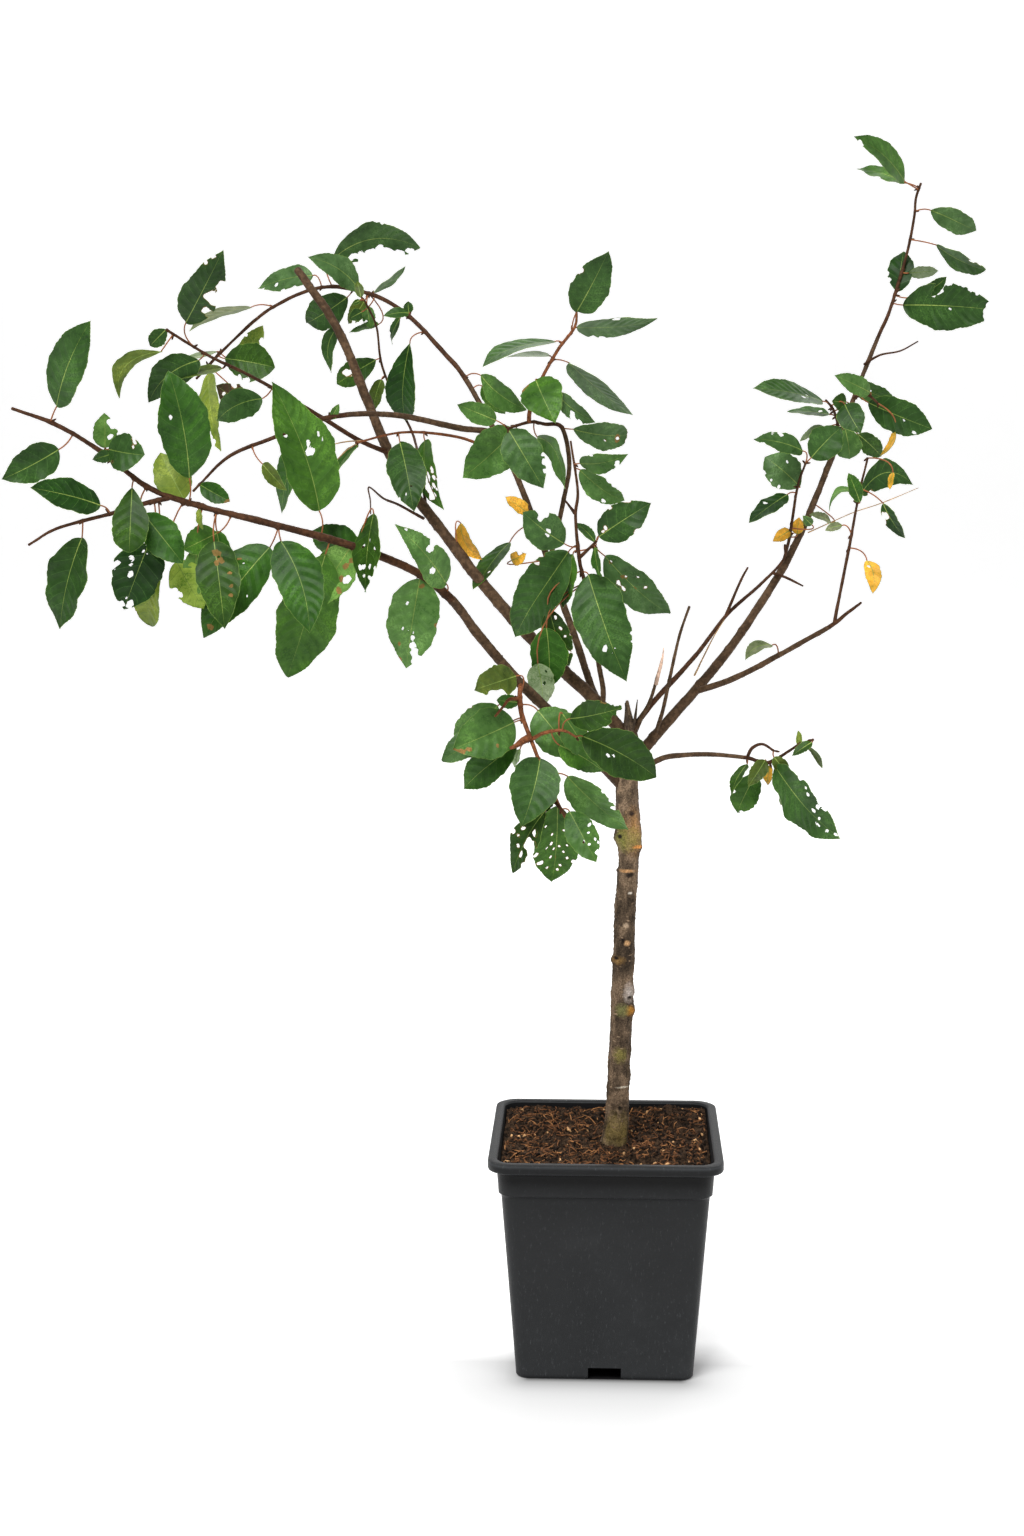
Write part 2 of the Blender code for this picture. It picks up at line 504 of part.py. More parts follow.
def leaf_axes(root, order, bearing, reach, blade, width, lean):
    """Length factor and directions of a leaf: along its midrib, across it, and out of its upper side.

    The lean is a share of the largest lean that keeps the leaf within its full reach: the golden share of its
    order, unless its row gives one. The turn about the midrib is the one that makes a blade of natural width
    show as wide as its row says.
    """
    most = min(MOST_LEAN, math.degrees(math.acos(min(1, reach / FULL_REACH))))
    rule = 2 * (order * GOLDEN % 1) - 1
    lean = math.radians(most * (rule if lean is None else lean))
    angle = math.radians(bearing)
    sight = (root - VIEWPOINT).normalized()
    along = Vector((math.cos(angle), 0, math.sin(angle))) + sight * math.tan(lean)
    longer = along.length
    along.normalize()
    normal = (along * along.dot(sight) - sight).normalized()
    turn = math.copysign(math.acos(min(1, abs(width) / (NATURAL_WIDTH * blade))), width)
    normal = Matrix.Rotation(turn, 3, along) @ normal
    return longer, along, along.cross(normal), normal


def leaf_sections(root, order, bearing, reach, width, lean=None, bow=0, petiole=PETIOLE_SHARE, kink=0):
    """Kite-shaped sections of one leaf's stalk, from its root inside the shoot, and of its blade."""
    blade = reach * (1 - petiole)
    longer, along, across, normal = leaf_axes(root, order, bearing, reach, blade, width, lean)
    width = max(abs(width), NATURAL_WIDTH * blade)
    stalk = Matrix.Rotation(math.radians(kink), 3, TOWARDS_VIEW) @ along
    base = root + stalk * reach * petiole * longer
    blade *= longer
    thick = max(LEAST_THICKNESS, THICKNESS * blade) / 2
    beside = stalk.cross(normal).normalized()
    above = beside.cross(stalk)
    stalk_sections = []
    for centre in (root, base + stalk * 0.5):
        stalk_sections.append(kite(centre, beside, above, STALK_HALF, STALK_HALF, 0))
    blade_sections = [kite(base - along * 0.5, across, normal, BASE_HALF, BASE_HALF, 0)]
    for share in BLADE_STATIONS:
        arch = 4 * blade * share * (1 - share)
        centre = base + along * blade * share + across * bow * arch + normal * CAMBER * arch
        half = blade_half_width(share, width)
        blade_sections.append(kite(centre, across, normal, half, thick * (1 - 0.5 * share), FOLD * half))
    return stalk_sections, blade_sections


def kite(centre, across, normal, half, depth, rise):
    """The four corners of a kite-shaped section: two at its sides, raised, and two on its middle line."""
    return [(centre - across * half + normal * rise) * MM, (centre + normal * depth) * MM,
            (centre + across * half + normal * rise) * MM, (centre - normal * depth) * MM]


def point_at(path, share):
    """The point of a path at a share of its length."""
    along = shares(path)
    index = next(i for i in range(1, len(path)) if along[i] >= share or i == len(path) - 1)
    t = (share - along[index - 1]) / (along[index] - along[index - 1])
    return path[index - 1].lerp(path[index], t)


def make_mass(name, paths, grown, parts):
    """Stems and leaves of one mass, fused by one union and cut clear of the bough that they grow from."""
    parent, runs_on, stems = MASSES[name]
    stem_corners = 6
    pieces = new_collection(f"{name}_pieces")
    for stem in stems:
        root, tip, _, leaves = STEMS[stem]
        tube(stem, paths[stem], tapered(paths[stem], root, tip), stem_corners, pieces)
        for order, (share, *row) in enumerate(leaves):
            stalk, blade = leaf_sections(point_at(paths[stem], share), order, *row)
            loft(f"{stem}_stalk_{order}", stalk, pieces)
            loft(f"{stem}_leaf_{order}", blade, pieces)
    main = pieces.objects[stems[0]]
    pieces.objects.unlink(main)
    bpy.context.scene.collection.objects.link(main)
    if len(pieces.objects):
        union = main.modifiers.new("union", "BOOLEAN")
        union.operation = "UNION"
        union.operand_type = "COLLECTION"
        union.collection = pieces
    if not runs_on:
        boolean(main, "DIFFERENCE", grown[parent])
    evaluated = main.evaluated_get(bpy.context.evaluated_depsgraph_get())
    mass = link_mesh(name, bpy.data.meshes.new_from_object(evaluated), parts)
    for piece in [main, *pieces.objects]:
        bpy.data.objects.remove(piece)
    bpy.data.collections.remove(pieces)
    finish(mass)


def main():
    for old in list(bpy.data.objects):
        bpy.data.objects.remove(old)
    parts = new_collection("potted_mirabelle_tree")
    cutters = new_collection("cutters")
    make_pot(parts, cutters)
    paths = limb_paths()
    grown = make_limbs(paths, parts, cutters)
    for name in MASSES:
        make_mass(name, paths, grown, parts)


main()
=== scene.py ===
"""Young mirabelle de Nancy tree in a square nursery pot: bark, twigs, worn leaves, compost and pot.

Sizes in the tables are millimetres in the frame's own axes: +Z up, +X right, +Y to the back, with the origin at
the centre of the pot's underside. Each shoot is a short row of points joined by one smooth curve. Each leaf is a
row: its place along the shoot as a share, its bearing in the upright plane across the view in degrees (0 right,
90 up), its reach from shoot to tip, the width that it shows (negative where the blade bellies to the left of its
bearing), its tint and its wear. Its lean out of that plane and its turn about the midrib follow by rule.
"""
import math

import bmesh
import bpy
import numpy as np
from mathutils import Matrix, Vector


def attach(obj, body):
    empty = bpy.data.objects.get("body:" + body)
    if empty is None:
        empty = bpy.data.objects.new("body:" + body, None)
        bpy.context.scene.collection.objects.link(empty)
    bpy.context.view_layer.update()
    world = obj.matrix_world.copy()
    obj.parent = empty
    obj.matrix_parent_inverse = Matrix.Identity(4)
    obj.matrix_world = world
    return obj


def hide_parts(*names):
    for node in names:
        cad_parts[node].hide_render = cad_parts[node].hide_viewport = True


bl_info = {
    "name": "Potted mirabelle tree",
    "version": (1, 0, 0),
    "blender": (4, 5, 0),
    "location": "View3D > Sidebar > Mirabelle",
    "description": "Finishes a young potted plum tree: bark, twigs, worn leaves, compost and pot",
    "category": "Add Mesh",
}

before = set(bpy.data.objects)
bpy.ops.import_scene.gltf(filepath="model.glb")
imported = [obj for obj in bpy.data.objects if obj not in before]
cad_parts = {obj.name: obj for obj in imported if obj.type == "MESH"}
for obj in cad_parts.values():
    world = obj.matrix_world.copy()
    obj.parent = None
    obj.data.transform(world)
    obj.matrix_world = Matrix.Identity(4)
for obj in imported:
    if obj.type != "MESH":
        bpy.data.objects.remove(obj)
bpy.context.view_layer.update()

MM = 0.001
VIEWPOINT = np.array([0.0, -2343.0, 941.0])
VIEW_PITCH = 0.1498             # radians below level
VIEW_YAW = 0.0397               # radians to the left
PHOTO_HEIGHT = 1536             # pixels
FOCAL_PIXELS = 2443

# Trunk: the points of its centre line, each with the trunk's diameter there. The last three are the dead stub
TRUNK = (
    (8, 0, 212, 27), (8.5, 0, 217, 25), (11, 0, 240, 22.5), (13, 0, 300, 21.6), (15, 0, 357, 21.2),
    (18, 0, 457, 20.4), (21, 0, 500, 20), (20.5, 0, 520, 24.5), (19, 0, 538, 24), (19, 0, 556, 21.5),
    (19, 0, 590, 20.5), (22, 0, 613, 17), (20, 0, 632, 10), (18, 0, 653, 2.6),
)

# Boughs: what each grows from, its diameters at root and tip, and its points
BOUGHS = {
    "bough_low_left": ("trunk", 11, 8.5, (
        (13, 0, 571), (-32, -36, 624), (-84, -78, 681), (-120, -105, 727), (-143, -122, 760))),
    "bough_left_cut": ("trunk", 13, 8, (
        (19, 0, 617), (-14, 10, 654), (-47, 22, 683), (-106, 42, 742), (-165, 62, 814), (-215, 82, 883),
        (-268, 108, 1005), (-311, 120, 1068))),
    "bough_arching": ("bough_left_cut", 7.5, 5.2, (
        (-7, 9, 647), (-16, 24, 662), (-32, 55, 706), (-46, 75, 742), (-77, 115, 825), (-106, 140, 890),
        (-146, 163, 960))),
    "bough_level_left": ("bough_arching", 6.5, 5.2, (
        (-105, 138, 890), (-120, 118, 908), (-150, 98, 913), (-198, 68, 924), (-228, 50, 927),
        (-255, 36, 926))),
    "bough_centre_back": ("bough_arching", 5, 4.2, (
        (-60, 94, 780), (-53, 92, 807), (-46, 89, 840), (-40, 86, 877), (-47, 82, 913))),
    "bough_centre_front": ("bough_left_cut", 5.2, 3.8, (
        (-6, 7, 645), (-5, -3, 664), (-9, -8, 687), (-15, -16, 728), (-23, -25, 769))),
    "bough_right": ("trunk", 11, 4, (
        (21, 0, 587), (36, 12, 606), (84, 45, 657), (117, 68, 694), (150, 92, 739), (186, 118, 797),
        (221, 145, 877), (245, 162, 940), (270, 175, 1003))),
    "bough_right_side": ("bough_right", 6.5, 4.2, (
        (84, 45, 657), (111, 20, 669), (132, 0, 681), (156, -20, 697), (206, -57, 731))),
    "bough_low_right": ("trunk", 6, 3.8, (
        (22, -2, 583), (39, -20, 594), (57, -35, 604), (92, -65, 611), (127, -91, 612))),
    "shoot_bare_short": ("bough_right", 4.2, 2.4, (
        (45, 17, 617), (52, 0, 642), (59, -12, 678), (67, -22, 718), (76, -30, 747))),
    "shoot_broken": ("trunk", 5, 2.2, (
        (23, -1, 617), (33, -6, 640), (41, -9, 657), (51, -18, 696))),
}

# Stems in the foliage: diameters at root and tip, points, and leaves
STEMS = {
    "low_left": (8.5, 3.4, (
        (-143, -122, 760), (-175, -138, 787), (-235, -160, 813), (-301, -178, 832), (-364, -195, 849),
        (-405, -202, 865), (-444, -208, 896), (-481, -215, 919), (-518, -221, 933)), (
        (0.02, 129, 76, 29, "green11", ((0.53, 0.5, 4.1), (0.53, 1.35, 8.2), (0.69, 1.35, 5.1), (0.89, 0.62, 1.4), (0.34, -0.3, 3.1), (0.3, -0.28, 2.6)), 0.36, -0.02, None, 0.13, -39),
        (0.09, 261, 88, 47, "green11", ((0.57, 0, 2.3), (0.64, -0.05, 3.1), (0.72, -0.15, 3.5), (0.79, -0.4, 4), (0.87, -0.95, 4.8), (0.84, -1.35, 3.8), (0.28, 0.32, 1.9), (0.55, 0.38, 1.5), (0.73, 0.5, -1.9), (0.92, 1.35, -2.1), (0.45, -0.93, -2.4), (0.07, -0.25, -2.4)), 0.4, 0.01, None, 0.04, -7),
        (0.24, 264, 105, 21, "green3", ((0.36, -0.05, 2.5), (0.42, 0.35, 2), (0.46, -0.55, 1.9), (0.68, 0.18, 2.7), (0.68, -0.3, 2.2), (0.82, -0.58, 2.2), (0.7, -0.83, 2), (0.76, -1.25, 1.9), (0.68, 0.5, 2.5), (0.8, 0.18, 1.9), (0.86, -1.35, 2.5)), 0.42, -0.02, -0.3, 0.33, 158),
        (0.25, 235, 69, 38, "green14", ((0.16, -0.53, -2.9), (0.28, -0.32, -2.9), (0.43, -0.45, -2.9), (0.58, -0.7, -2.9), (0.4, -0.7, 3.8)), 0.42, -0.01, 0.1, 0.02, -102),
        (0.3, 253, 131, -53, "green7", "whole", 0.5, 0.02, 0.55, 0.11, -1),
        (0.32, 111, 143, 48, "green7", ((0.6, -0.6, 2.6), (0.5, 0.23, 2.8), (0.43, 0.18, 4.3), (0.53, 0.67, 2.4), (0.47, 0.7, 1.6)), 0.36, 0.03, None, 0.16, -18),
        (0.41, 287, 98, 42, "green4", "whole", 0.42, -0.07, -0.55, 0.14, -9),
        (0.41, 233, 122, 44, "green4", ((0.25, 0.52, -2.1), (0.25, 0.32, 1.2), (0.44, -0.68, 1.3), (0.88, -0.12, -3.1)), 0.38, 0, 0.3, 0.17, 14),
        (0.54, 276, 103, 38, "green3", ((0.15, -0.07, -3.8), (0.24, -0.23, -2.9), (0.26, 0.02, -2.4), (0.19, -0.18, 1.5), (0.4, -0.5, -1.9), (0.55, -0.6, -1.9), (0.66, -0.58, -1.9)), 0.4, -0.01, -0.55, 0.26, -13),
        (0.57, 268, 80, 21, "green14", ((0.5, 0.3, 1.3), (0.62, 0.23, 1.6), (0.75, 0.3, 1.3)), 0.46, 0.01, 0.2, 0.45, -7),
        (0.58, 280, 21, 6, "green13", "whole"),
        (0.6, 100, 115, 45, "green4", ((0.6, -0.48, 2),), 0.48, 0.01, -0.55, 0.19, -13),
        (0.61, 116, 47, 32, "green13", "whole", 0.41, -0.01, 0.55, 0.04, -34),
        (0.69, 308, 78, 32, "green4", "whole", 0.48, 0, -0.35, 0.3, -45),
        (0.72, 266, 65, 32, "green3", "whole", 0.66, 0, -0.6, 0.13, -12),
        (0.8, 351, 38, 33, "green5", ((0.68, -0.4, 1.4), (0.72, -0.78, 1.7), (0.75, -1.28, 2.1), (0.17, 0.77, 1.3)), 0.45, 0.02, -0.55, 0.16, 36),
        (0.8, 90, 35, 21, "green14", ((0.68, 1.08, 5.8), (0.31, 0.5, 2.4)), 0.4, 0.01, 0.2, 0.13, -23),
        (0.87, 207, 76, 31, "green2", "whole", 0.37, -0.02, None, 0.25, 19),
        (0.92, 67, 92, -31, "green5", "whole", 0.45),
        (0.21, 154, 61, 32, "green4", "whole", 0.41, 0.02, 0.6, 0.12, 55),
        (0.51, 206, 55, 27, "green7", "whole", 0.39, 0, -0.1, 0.39, 26),
        (0.54, 280, 57, 19, "green4", "whole", 0.4, -0.02, 0.2, 0.31, -12),
        (0.61, 299, 103, 32, "green16", ((0.49, 1.15, 6.2), (0.49, 1.35, 7.7), (0.53, 0.75, 2.9)), 0.4, 0.01, 0.3, 0.53, -37),
        (0.78, 196, 23, 11, "green5", "whole", 0.38, -0.01, -0.3, 0.21, -121))),
    "low_left_fork": (4.6, 2.2, (
        (-387, -200, 855), (-410, -206, 850), (-436, -214, 842), (-480, -226, 830), (-504, -234, 816)), (
        (0.41, 167, 74, 28, "green1", "whole", 0.45, 0.01, None, 0.16, -32),
        (0.6, 255, 98, 34, "green2", "whole", 0.43, 0, None, 0.15, 11),
        (0.1, 248, 100, 44, "green1", ((0.52, 1, 2.9), (0.47, 0.92, 2.9), (0.35, 0.4, 2.5), (0.42, 0.4, 1.9), (0.55, 0.2, 2.9), (0.22, 0.05, 2.3), (0.13, 0.05, 1.7), (0.07, 0.07, 1.9), (0.08, 0.65, 2.9), (0.95, 1.02, 3.5), (0.91, -0.4, 3.5), (0.84, 0.15, 1.3)), 0.48, 0.01, 0.1, 0.31, 17),
        (0.07, 258, 113, 25, "green13", ((0.93, 1.27, 3.5),), 0.72, -0.01, 0.5, 0.35, 13))),
    "arching": (5.2, 2.6, (
        (-146, 163, 960), (-169, 180, 987), (-208, 205, 1026), (-247, 220, 1048), (-299, 230, 1056),
        (-351, 215, 1034), (-394, 200, 996), (-425, 185, 962)), (
        (0.01, 322, 72, 24, "green9", "whole", 0.5, 0.02, None, 0.24, 42),
        (0.2, 264, 99, 28, "green1", "whole", 0.62, -0.01, None, 0.2, -46),
        (0.27, 187, 29, 11, "green5", "whole", 0.45, 0.02, None, 0.1, -104),
        (0.52, 6, 121, 39, "green6", ((0.22, 0.67, 4.2), (0.32, 0.75, 5.2), (0.43, 0.67, 5.7), (0.54, 0.6, 5.7), (0.65, 0.73, 5.2), (0.76, 0.83, 4.7), (0.88, 0.83, 4.2), (0.53, -1.3, 2.6), (0.63, -1.35, 2.6)), 0.5, -0.23, None, 0.24, 82),
        (0.4, 36, 45, 7, "green9", "whole", 0.47, -0.02, None, 0.07, 11),
        (0.44, 147, 61, 27, "green10", "whole", 0.42, 0.06, None, 0.05, -36),
        (0.41, 234, 38, 18, "green8", ((0.84, -0.9, 2.4),), 0.37, -0.02, None, 0.22, 5),
        (0.41, 280, 36, 14, "green9", ((0.68, 0.65, 1.9),), 0.42, 0.02, None, 0.36, -17),
        (0.46, 212, 62, 35, "green2", "whole", 0.5, -0.02, 0.6, 0.16, 22),
        (0.55, 194, 74, 23, "green10", ((0.63, -0.32, 2.2), (0.9, -1.35, 3.2), (0.5, -1.3, 2.7), (0.26, -1.28, 1.6)), 0.4, 0.02, 0.5, 0.21, -63),
        (0.7, 196, 90, 9, "green12", "whole", 0.4, 0.07, None, 0.26, -16),
        (0.9, 51, 62, 21, "green13", ((0.64, 0.92, 3.9), (0.42, 0.88, 2.9), (0.5, -1.35, 2.4)), 0.38, 0.01, None, 0.3, -71),
        (0.91, 350, 60, 39, "green3", ((0.53, 1, 3.8), (0.38, 0.98, 2.9)), 0.55, -0.02, None, 0.13, -13),
        (0.96, 275, 82, 21, "green13", ((0.8, 0.88, 6.4), (0.89, 1.35, 6.4), (0.84, -1.35, 4.5), (0.78, -1.35, 3.2), (0.41, 0.55, 2.6)), 0.4, -0.02, None, 0.08, 12),
        (0.95, 147, 93, 27, "brown", ((0.71, -0.2, 1.9), (0.59, 0.92, 3.8)), 0.39, -0.01, -1, 0.67, 175),
        (0.39, 208, 37, 13, "green2", "whole", 0.38, 0, -0.6, 0.59, 22),
        (0.29, 248, 36, 8, "green2", ((0.73, 1.35, 3.2),), 0.38, -0.01, None, 0.21, -8),
        (0.27, 94, 15, 10, "green2", "whole", 0.45, -0.02, None, 0.19, -12),
        (0.9, 196, 57, 6, "green15", "whole", 0.45, -0.02, -0.3, 0.07, -37),
        (0.41, 195, 63, 7, "green7", "whole", 0.37, 0.02, None, 0.5, 92))),
    "level_left": (5.2, 2.4, (
        (-255, 36, 926), (-281, 22, 921), (-323, 0, 904), (-362, -16, 887), (-394, -30, 855)), (
        (0.58, 312, 52, 14, "green8", "whole", 0.42, -0.02, None, 0.38, -12),
        (0.1, 61, 19, 8, "green9", "whole", 0.4, -0.02, None, 0.12, -121),
        (0.95, 331, 33, 18, "green4", ((0.95, 0.6, -2.9),), 0.5, 0.01, None, 0.02, 17),
        (0.32, 255, 84, 20, "green4", "whole", 0.38, -0.02, 0.7, 0.21, 20))),
    "level_side": (3.6, 2, (
        (-97, 131, 872), (-112, 118, 886), (-147, 100, 903), (-201, 74, 909), (-248, 54, 899)), (
        (0.75, 281, 73, 37, "green2", ((0.84, 0.98, 1.5), (0.81, 0.35, 1.3), (0.72, -0.1, 1.2)), 0.5, -0.01, None, 0.13, -2),
        (0.6, 284, 77, 22, "green7", ((0.47, -0.6, 3.1), (0.58, -0.7, 2.7), (0.68, -0.48, 2.7), (0.74, -0.78, 1.9), (0.53, 0, 4.8), (0.67, 0.23, 4.8), (0.78, 0.27, 4.2), (0.64, -1.35, 1.4)), 0.33, 0.03, -0.5, 0.1, -9),
        (0.99, 233, 42, 8, "green4", "whole", 0.41, 0, None, 0.06, 25))),
    "cut_side": (5, 2.6, (
        (-217, 82, 888), (-246, 70, 901), (-277, 55, 921), (-336, 25, 958), (-382, 5, 982), (-420, -10, 1006)), (
        (0.88, 61, 94, 36, "green2", ((0.46, 0.75, 8.7), (0.26, 0.83, 5.8), (0.62, 0.88, 5.8), (0.91, -1.25, 3.1), (0.82, -0.98, 1.9)), 0.42, 0, None, 0.23, 46),
        (1, 224, 23, 16, "green2", "whole", 0.5, 0, None, 0.02, -97),
        (0.97, 224, 79, 16, "green8", ((0.6, -1.35, 3.9), (0.74, -1.35, 3.2)), 0.45, 0.32, None, 0.26, 10),
        (0.83, 219, 72, 32, "green2", "whole", 0.4, 0.12, 0.3, 0.12, 7),
        (0.74, 192, 54, 9, "green8", "whole", 0.4, 0, None, 0.11, 29),
        (0.54, 206, 64, 30, "green5", "whole", 0.42, 0.1, 0.2, 0.22, 19))),
    "thin_upright": (3.4, 2, (
        (-181, 68, 839), (-189, 115, 873), (-204, 200, 906), (-224, 235, 940), (-238, 225, 978), (-241, 205, 1015),
        (-251, 185, 1041)), (
        (0.78, 211, 53, 26, "green3", ((0.66, 0.27, 4.4),), 0.55, 0.01, 0.1, 0.09, -16),
        (0.72, 256, 41, 14, "green8", "whole", 0.38, 0, None, 0.14, -30),
        (1, 206, 14, 5, "green3", "whole", 0.39, 0, None, 0.34, -25),
        (1, 104, 22, 9, "green8", "whole", 0.4, 0.01, None, 0.21, 36))),
    "nodding_tip": (4.2, 2.4, (
        (-47, 82, 913), (-64, 72, 917), (-78, 62, 919), (-99, 42, 913)), (
        (0.83, 222, 74, -43, "green9", "whole", 0.38, -0.02, 0.2, 0.06, 32),
        (0.99, 301, 67, 38, "green6", ((0.7, -1.03, 3.8), (0.58, -1.08, 2.4), (0.81, -1.2, 2.9)), 0.4, 0, -0.2, 0.03, -6),
        (0.49, 297, 71, 14, "green9", "whole", 0.41, -0.36, None, 0.21, -15),
        (0, 354, 68, 27, "green10", ((1, -1.35, 4.9), (1, 1.35, 4.9), (0.76, 0.2, -3.6), (0.76, 0.2, 1.8), (0.53, 0.4, 1.2)), 0.55),
        (1, 158, 54, 21, "green9", "whole", 0.43, 0, -0.4, 0.25, -13))),
    "centre_upright": (4.2, 2.4, (
        (-79, 60, 919), (-78, 60, 930), (-72, 62, 950), (-52, 65, 987), (-35, 67, 1010), (-33, 68, 1027)), (
        (0.82, 62, 83, -36, "green5", ((0.61, -0.98, 3.1),), 0.42, 0.01, None, 0.23, 15),
        (0.77, 4, 91, 17, "green10", ((0.23, 1.05, 4.4), (0.34, 1, 3.8), (0.46, -0.85, 3.7)), 0.33, 0, None, 0.13, 42),
        (0.7, 197, 81, 11, "green6", "whole", 0.44, 0.16, None, 0.1, -26),
        (0.54, 320, 99, 19, "green10", "whole", 0.42, -0.02, None, 0.17, 30),
        (0.35, 295, 50, 41, "green7", ((0.11, 1.18, -2.9), (0.03, 1.3, -2.4)), 0.38, 0.01, -0.9, 0.09, -119),
        (0.33, 325, 66, 18, "green10", ((0.5, 0.6, 4.3), (0.68, 0.88, 2.7)), 0.43, 0.02, None, 0.31, 3),
        (0.54, 180, 46, 5, "green17", "whole", 0.38, 0.02, None, 0.1, -55))),
    "centre_front": (3.8, 2, (
        (-23, -25, 769), (-28, -28, 790), (-32, -30, 832), (-30, -28, 856), (-37, -24, 902)), (
        (0.84, 8, 48, 19, "green9", ((0.4, -1.35, 2.6), (0.78, 0.73, 3.1)), 0.41, 0.02, None, 0.11, -1),
        (0.81, 323, 57, 21, "green11", ((0.66, -1.35, 4.3), (0.49, -1.1, 2.7), (0.68, 0.8, 2.1)), 0.45, 0.01, None, 0.09, 19),
        (0.26, 143, 60, 35, "green6", ((0.77, 0.95, 5.8), (0.72, 0.5, 3.4), (0.42, 0.02, 3.5)), 0.5, -0.03, None, 0.22, 23),
        (0.27, 236, 110, 43, "green5", ((0.18, 1.05, 3.1), (0.26, 0.83, 2.6)), 0.42, -0.02, None, 0.1, -20),
        (0.08, 289, 111, 51, "green5", ((0.68, 0.35, 2.9), (0.71, 0, 2.1), (0.75, 0.05, 2.3), (0.66, -1.08, 2.1), (0.71, -1, 1.6)), 0.42, 0, -0.8, 0.06, 49),
        (0.09, 289, 106, 27, "green3", ((0.13, -0.48, 1.8), (0.33, -0.45, 1.8), (0.47, -0.55, 1.4), (0.62, -0.12, 3.2), (0.74, -0.48, 1.8), (0.36, 0.02, 1.3), (0.55, 0.45, 3.5), (0.73, 0.75, 4), (0.78, -1.35, 2), (0.46, -1.15, 1.5)), 0.43, 0.01, 0.3, 0.46, -57),
        (0.23, 136, 43, 9, "green5", "whole", 0.44, 0.03, None, 0.41, -108),
        (0, 272, 115, 36, "green4", "whole", 0.45, -0.03, 0.2, 0.49, -42),
        (0.24, 261, 58, 19, "green7", "whole", 0.45, -0.02, 0.3, 0.11, -40),
        (0, 278, 131, 26, "green15", ((0.2, -0.58, 1.2), (0.47, -0.28, 1.7)), 0.4, -0.02, -0.5, 0.68, -38))),
    "centre_front_spur": (3.6, 2.4, (
        (-28, -28, 793), (-20, -34, 801), (-12, -40, 809)), (
        (1, 33, 62, 34, "green2", ((0.19, -0.25, 1.9), (0.11, -0.18, 1.5), (0.73, -1.35, 4.8), (0.6, 1.02, 2.4), (0.37, -1.35, 2.4)), 0.42, -0.01, -0.2, 0.08, 30),
        (0.79, 317, 99, 33, "green10", ((0.09, -0.05, 1.7), (0.31, -0.02, 2.8), (0.32, 0.48, 2.4), (0.41, 0.43, 2.4), (0.4, -0.55, 1.4), (0.49, -0.05, 1.6), (0.56, -0.4, 1.7)), 0.45),
        (0.82, 281, 35, 8, "green4", "torn_tip", 0.43, -0.02, None, 0.09, 14))),
    "right_top": (3.8, 2.4, (
        (270, 175, 1003), (281, 179, 1028), (298, 190, 1083), (306, 198, 1122), (308, 202, 1142), (313, 205, 1157)), (
        (0.96, 138, 82, 22, "green9", ((0.92, -1.35, 4.7), (0.74, -1.35, 3.5)), 0.42, 0.02, None, 0.21, 12),
        (0.82, 334, 68, 23, "green10", "whole", 0.5, -0.05, None, 0.24, 29),
        (0.64, 334, 82, 17, "green6", ((0.75, -0.78, 3.2), (0.84, -1.28, 3.2), (0.92, -1.35, 3.2)), 0.55, 0.02, None, 0.33, 15),
        (0.3, 83, 43, 26, "green1", ((0.34, -1.35, 2.9), (0.15, -1.35, 2.4)), 0.45, -0.01, None, 0.06, -55),
        (0.43, 5, 37, 12, "green15", "whole", 0.45, -0.03, None, 0.19, -11),
        (0.23, 357, 105, 46, "green2", ((1, -1.35, 11.6), (1, 0.52, 12.6), (0.93, 1.35, 7.7), (0.42, -0.78, 5.8), (0.52, -1, 3.4), (0.36, -0.53, 3.4), (0.62, -1.12, 1.9), (0.68, -1.15, 2.3), (0.77, -1.35, 2.3), (0.83, -1.35, 2.1), (0.53, 0.07, 1.5)), 0.48, -0.03, None, 0.11, -8),
        (0.97, 165, 66, 13, "green9", ((0.49, -1.35, 2.7),), 0.44, 0.01, None, 0.24, -4),
        (0.28, 31, 56, 13, "green2", "whole", 0.43, 0.03, None, 0.44, -28))),
    "right_inner": (3.4, 2.2, (
        (174, 110, 781), (179, 98, 807), (184, 80, 854), (191, 70, 879)), (
        (0.7, 216, 54, 17, "green1", ((0.47, 0.52, 2.2),), 0.45, -0.02, None, 0.17, -24),
        (0.76, 140, 48, 35, "green10", ((0.57, -0.88, 1.4), (0.78, -1, 2.4), (0.54, 0.55, 1.4), (0.32, -0.95, 1.9)), 0.5, 0.03, None, 0.05, -137),
        (1, 167, 61, 19, "green6", ((0.49, 0.92, 3.3), (0.86, -1.35, 2.2), (0.67, 0.92, 1.6)), 0.39, 0.01, None, 0.2, -63),
        (1, 46, 49, 33, "green5", "whole", 0.45, -0.02, 0.4),
        (0.33, 213, 21, 12, "yellow", "whole", 0.38, 0.01, None, 0.04, -11),
        (0.35, 136, 31, 9, "green6", "whole", 0.41, -0.02, None, 0.61, -125),
        (0.26, 84, 25, 12, "yellow", "whole", 0.37, -0.01, None, 0.32, -65))),
    "right_spur_left": (3.4, 2.2, (
        (231, 153, 902), (228, 138, 916), (222, 128, 931), (214, 120, 940)), (
        (0.77, 170, 80, 17, "green6", ((0.26, 0, 3), (0.34, -0.28, 2.7)), 0.44, -0.02, None, 0.15, -22),
        (0.57, 176, 49, 9, "green5", ((0.23, 0.3, 2.1),), 0.41, -0.01, None, 0.14, -13),
        (0.69, 176, 28, 17, "green3", "whole", 0.42, -0.02, None, 0.51, -138),
        (0.35, 280, 39, 27, "green9", "whole", 0.5, -0.03, None, 0.19, 58),
        (0.39, 205, 41, 10, "green15", "whole", 0.37, 0.02, None, 0.3, -6),
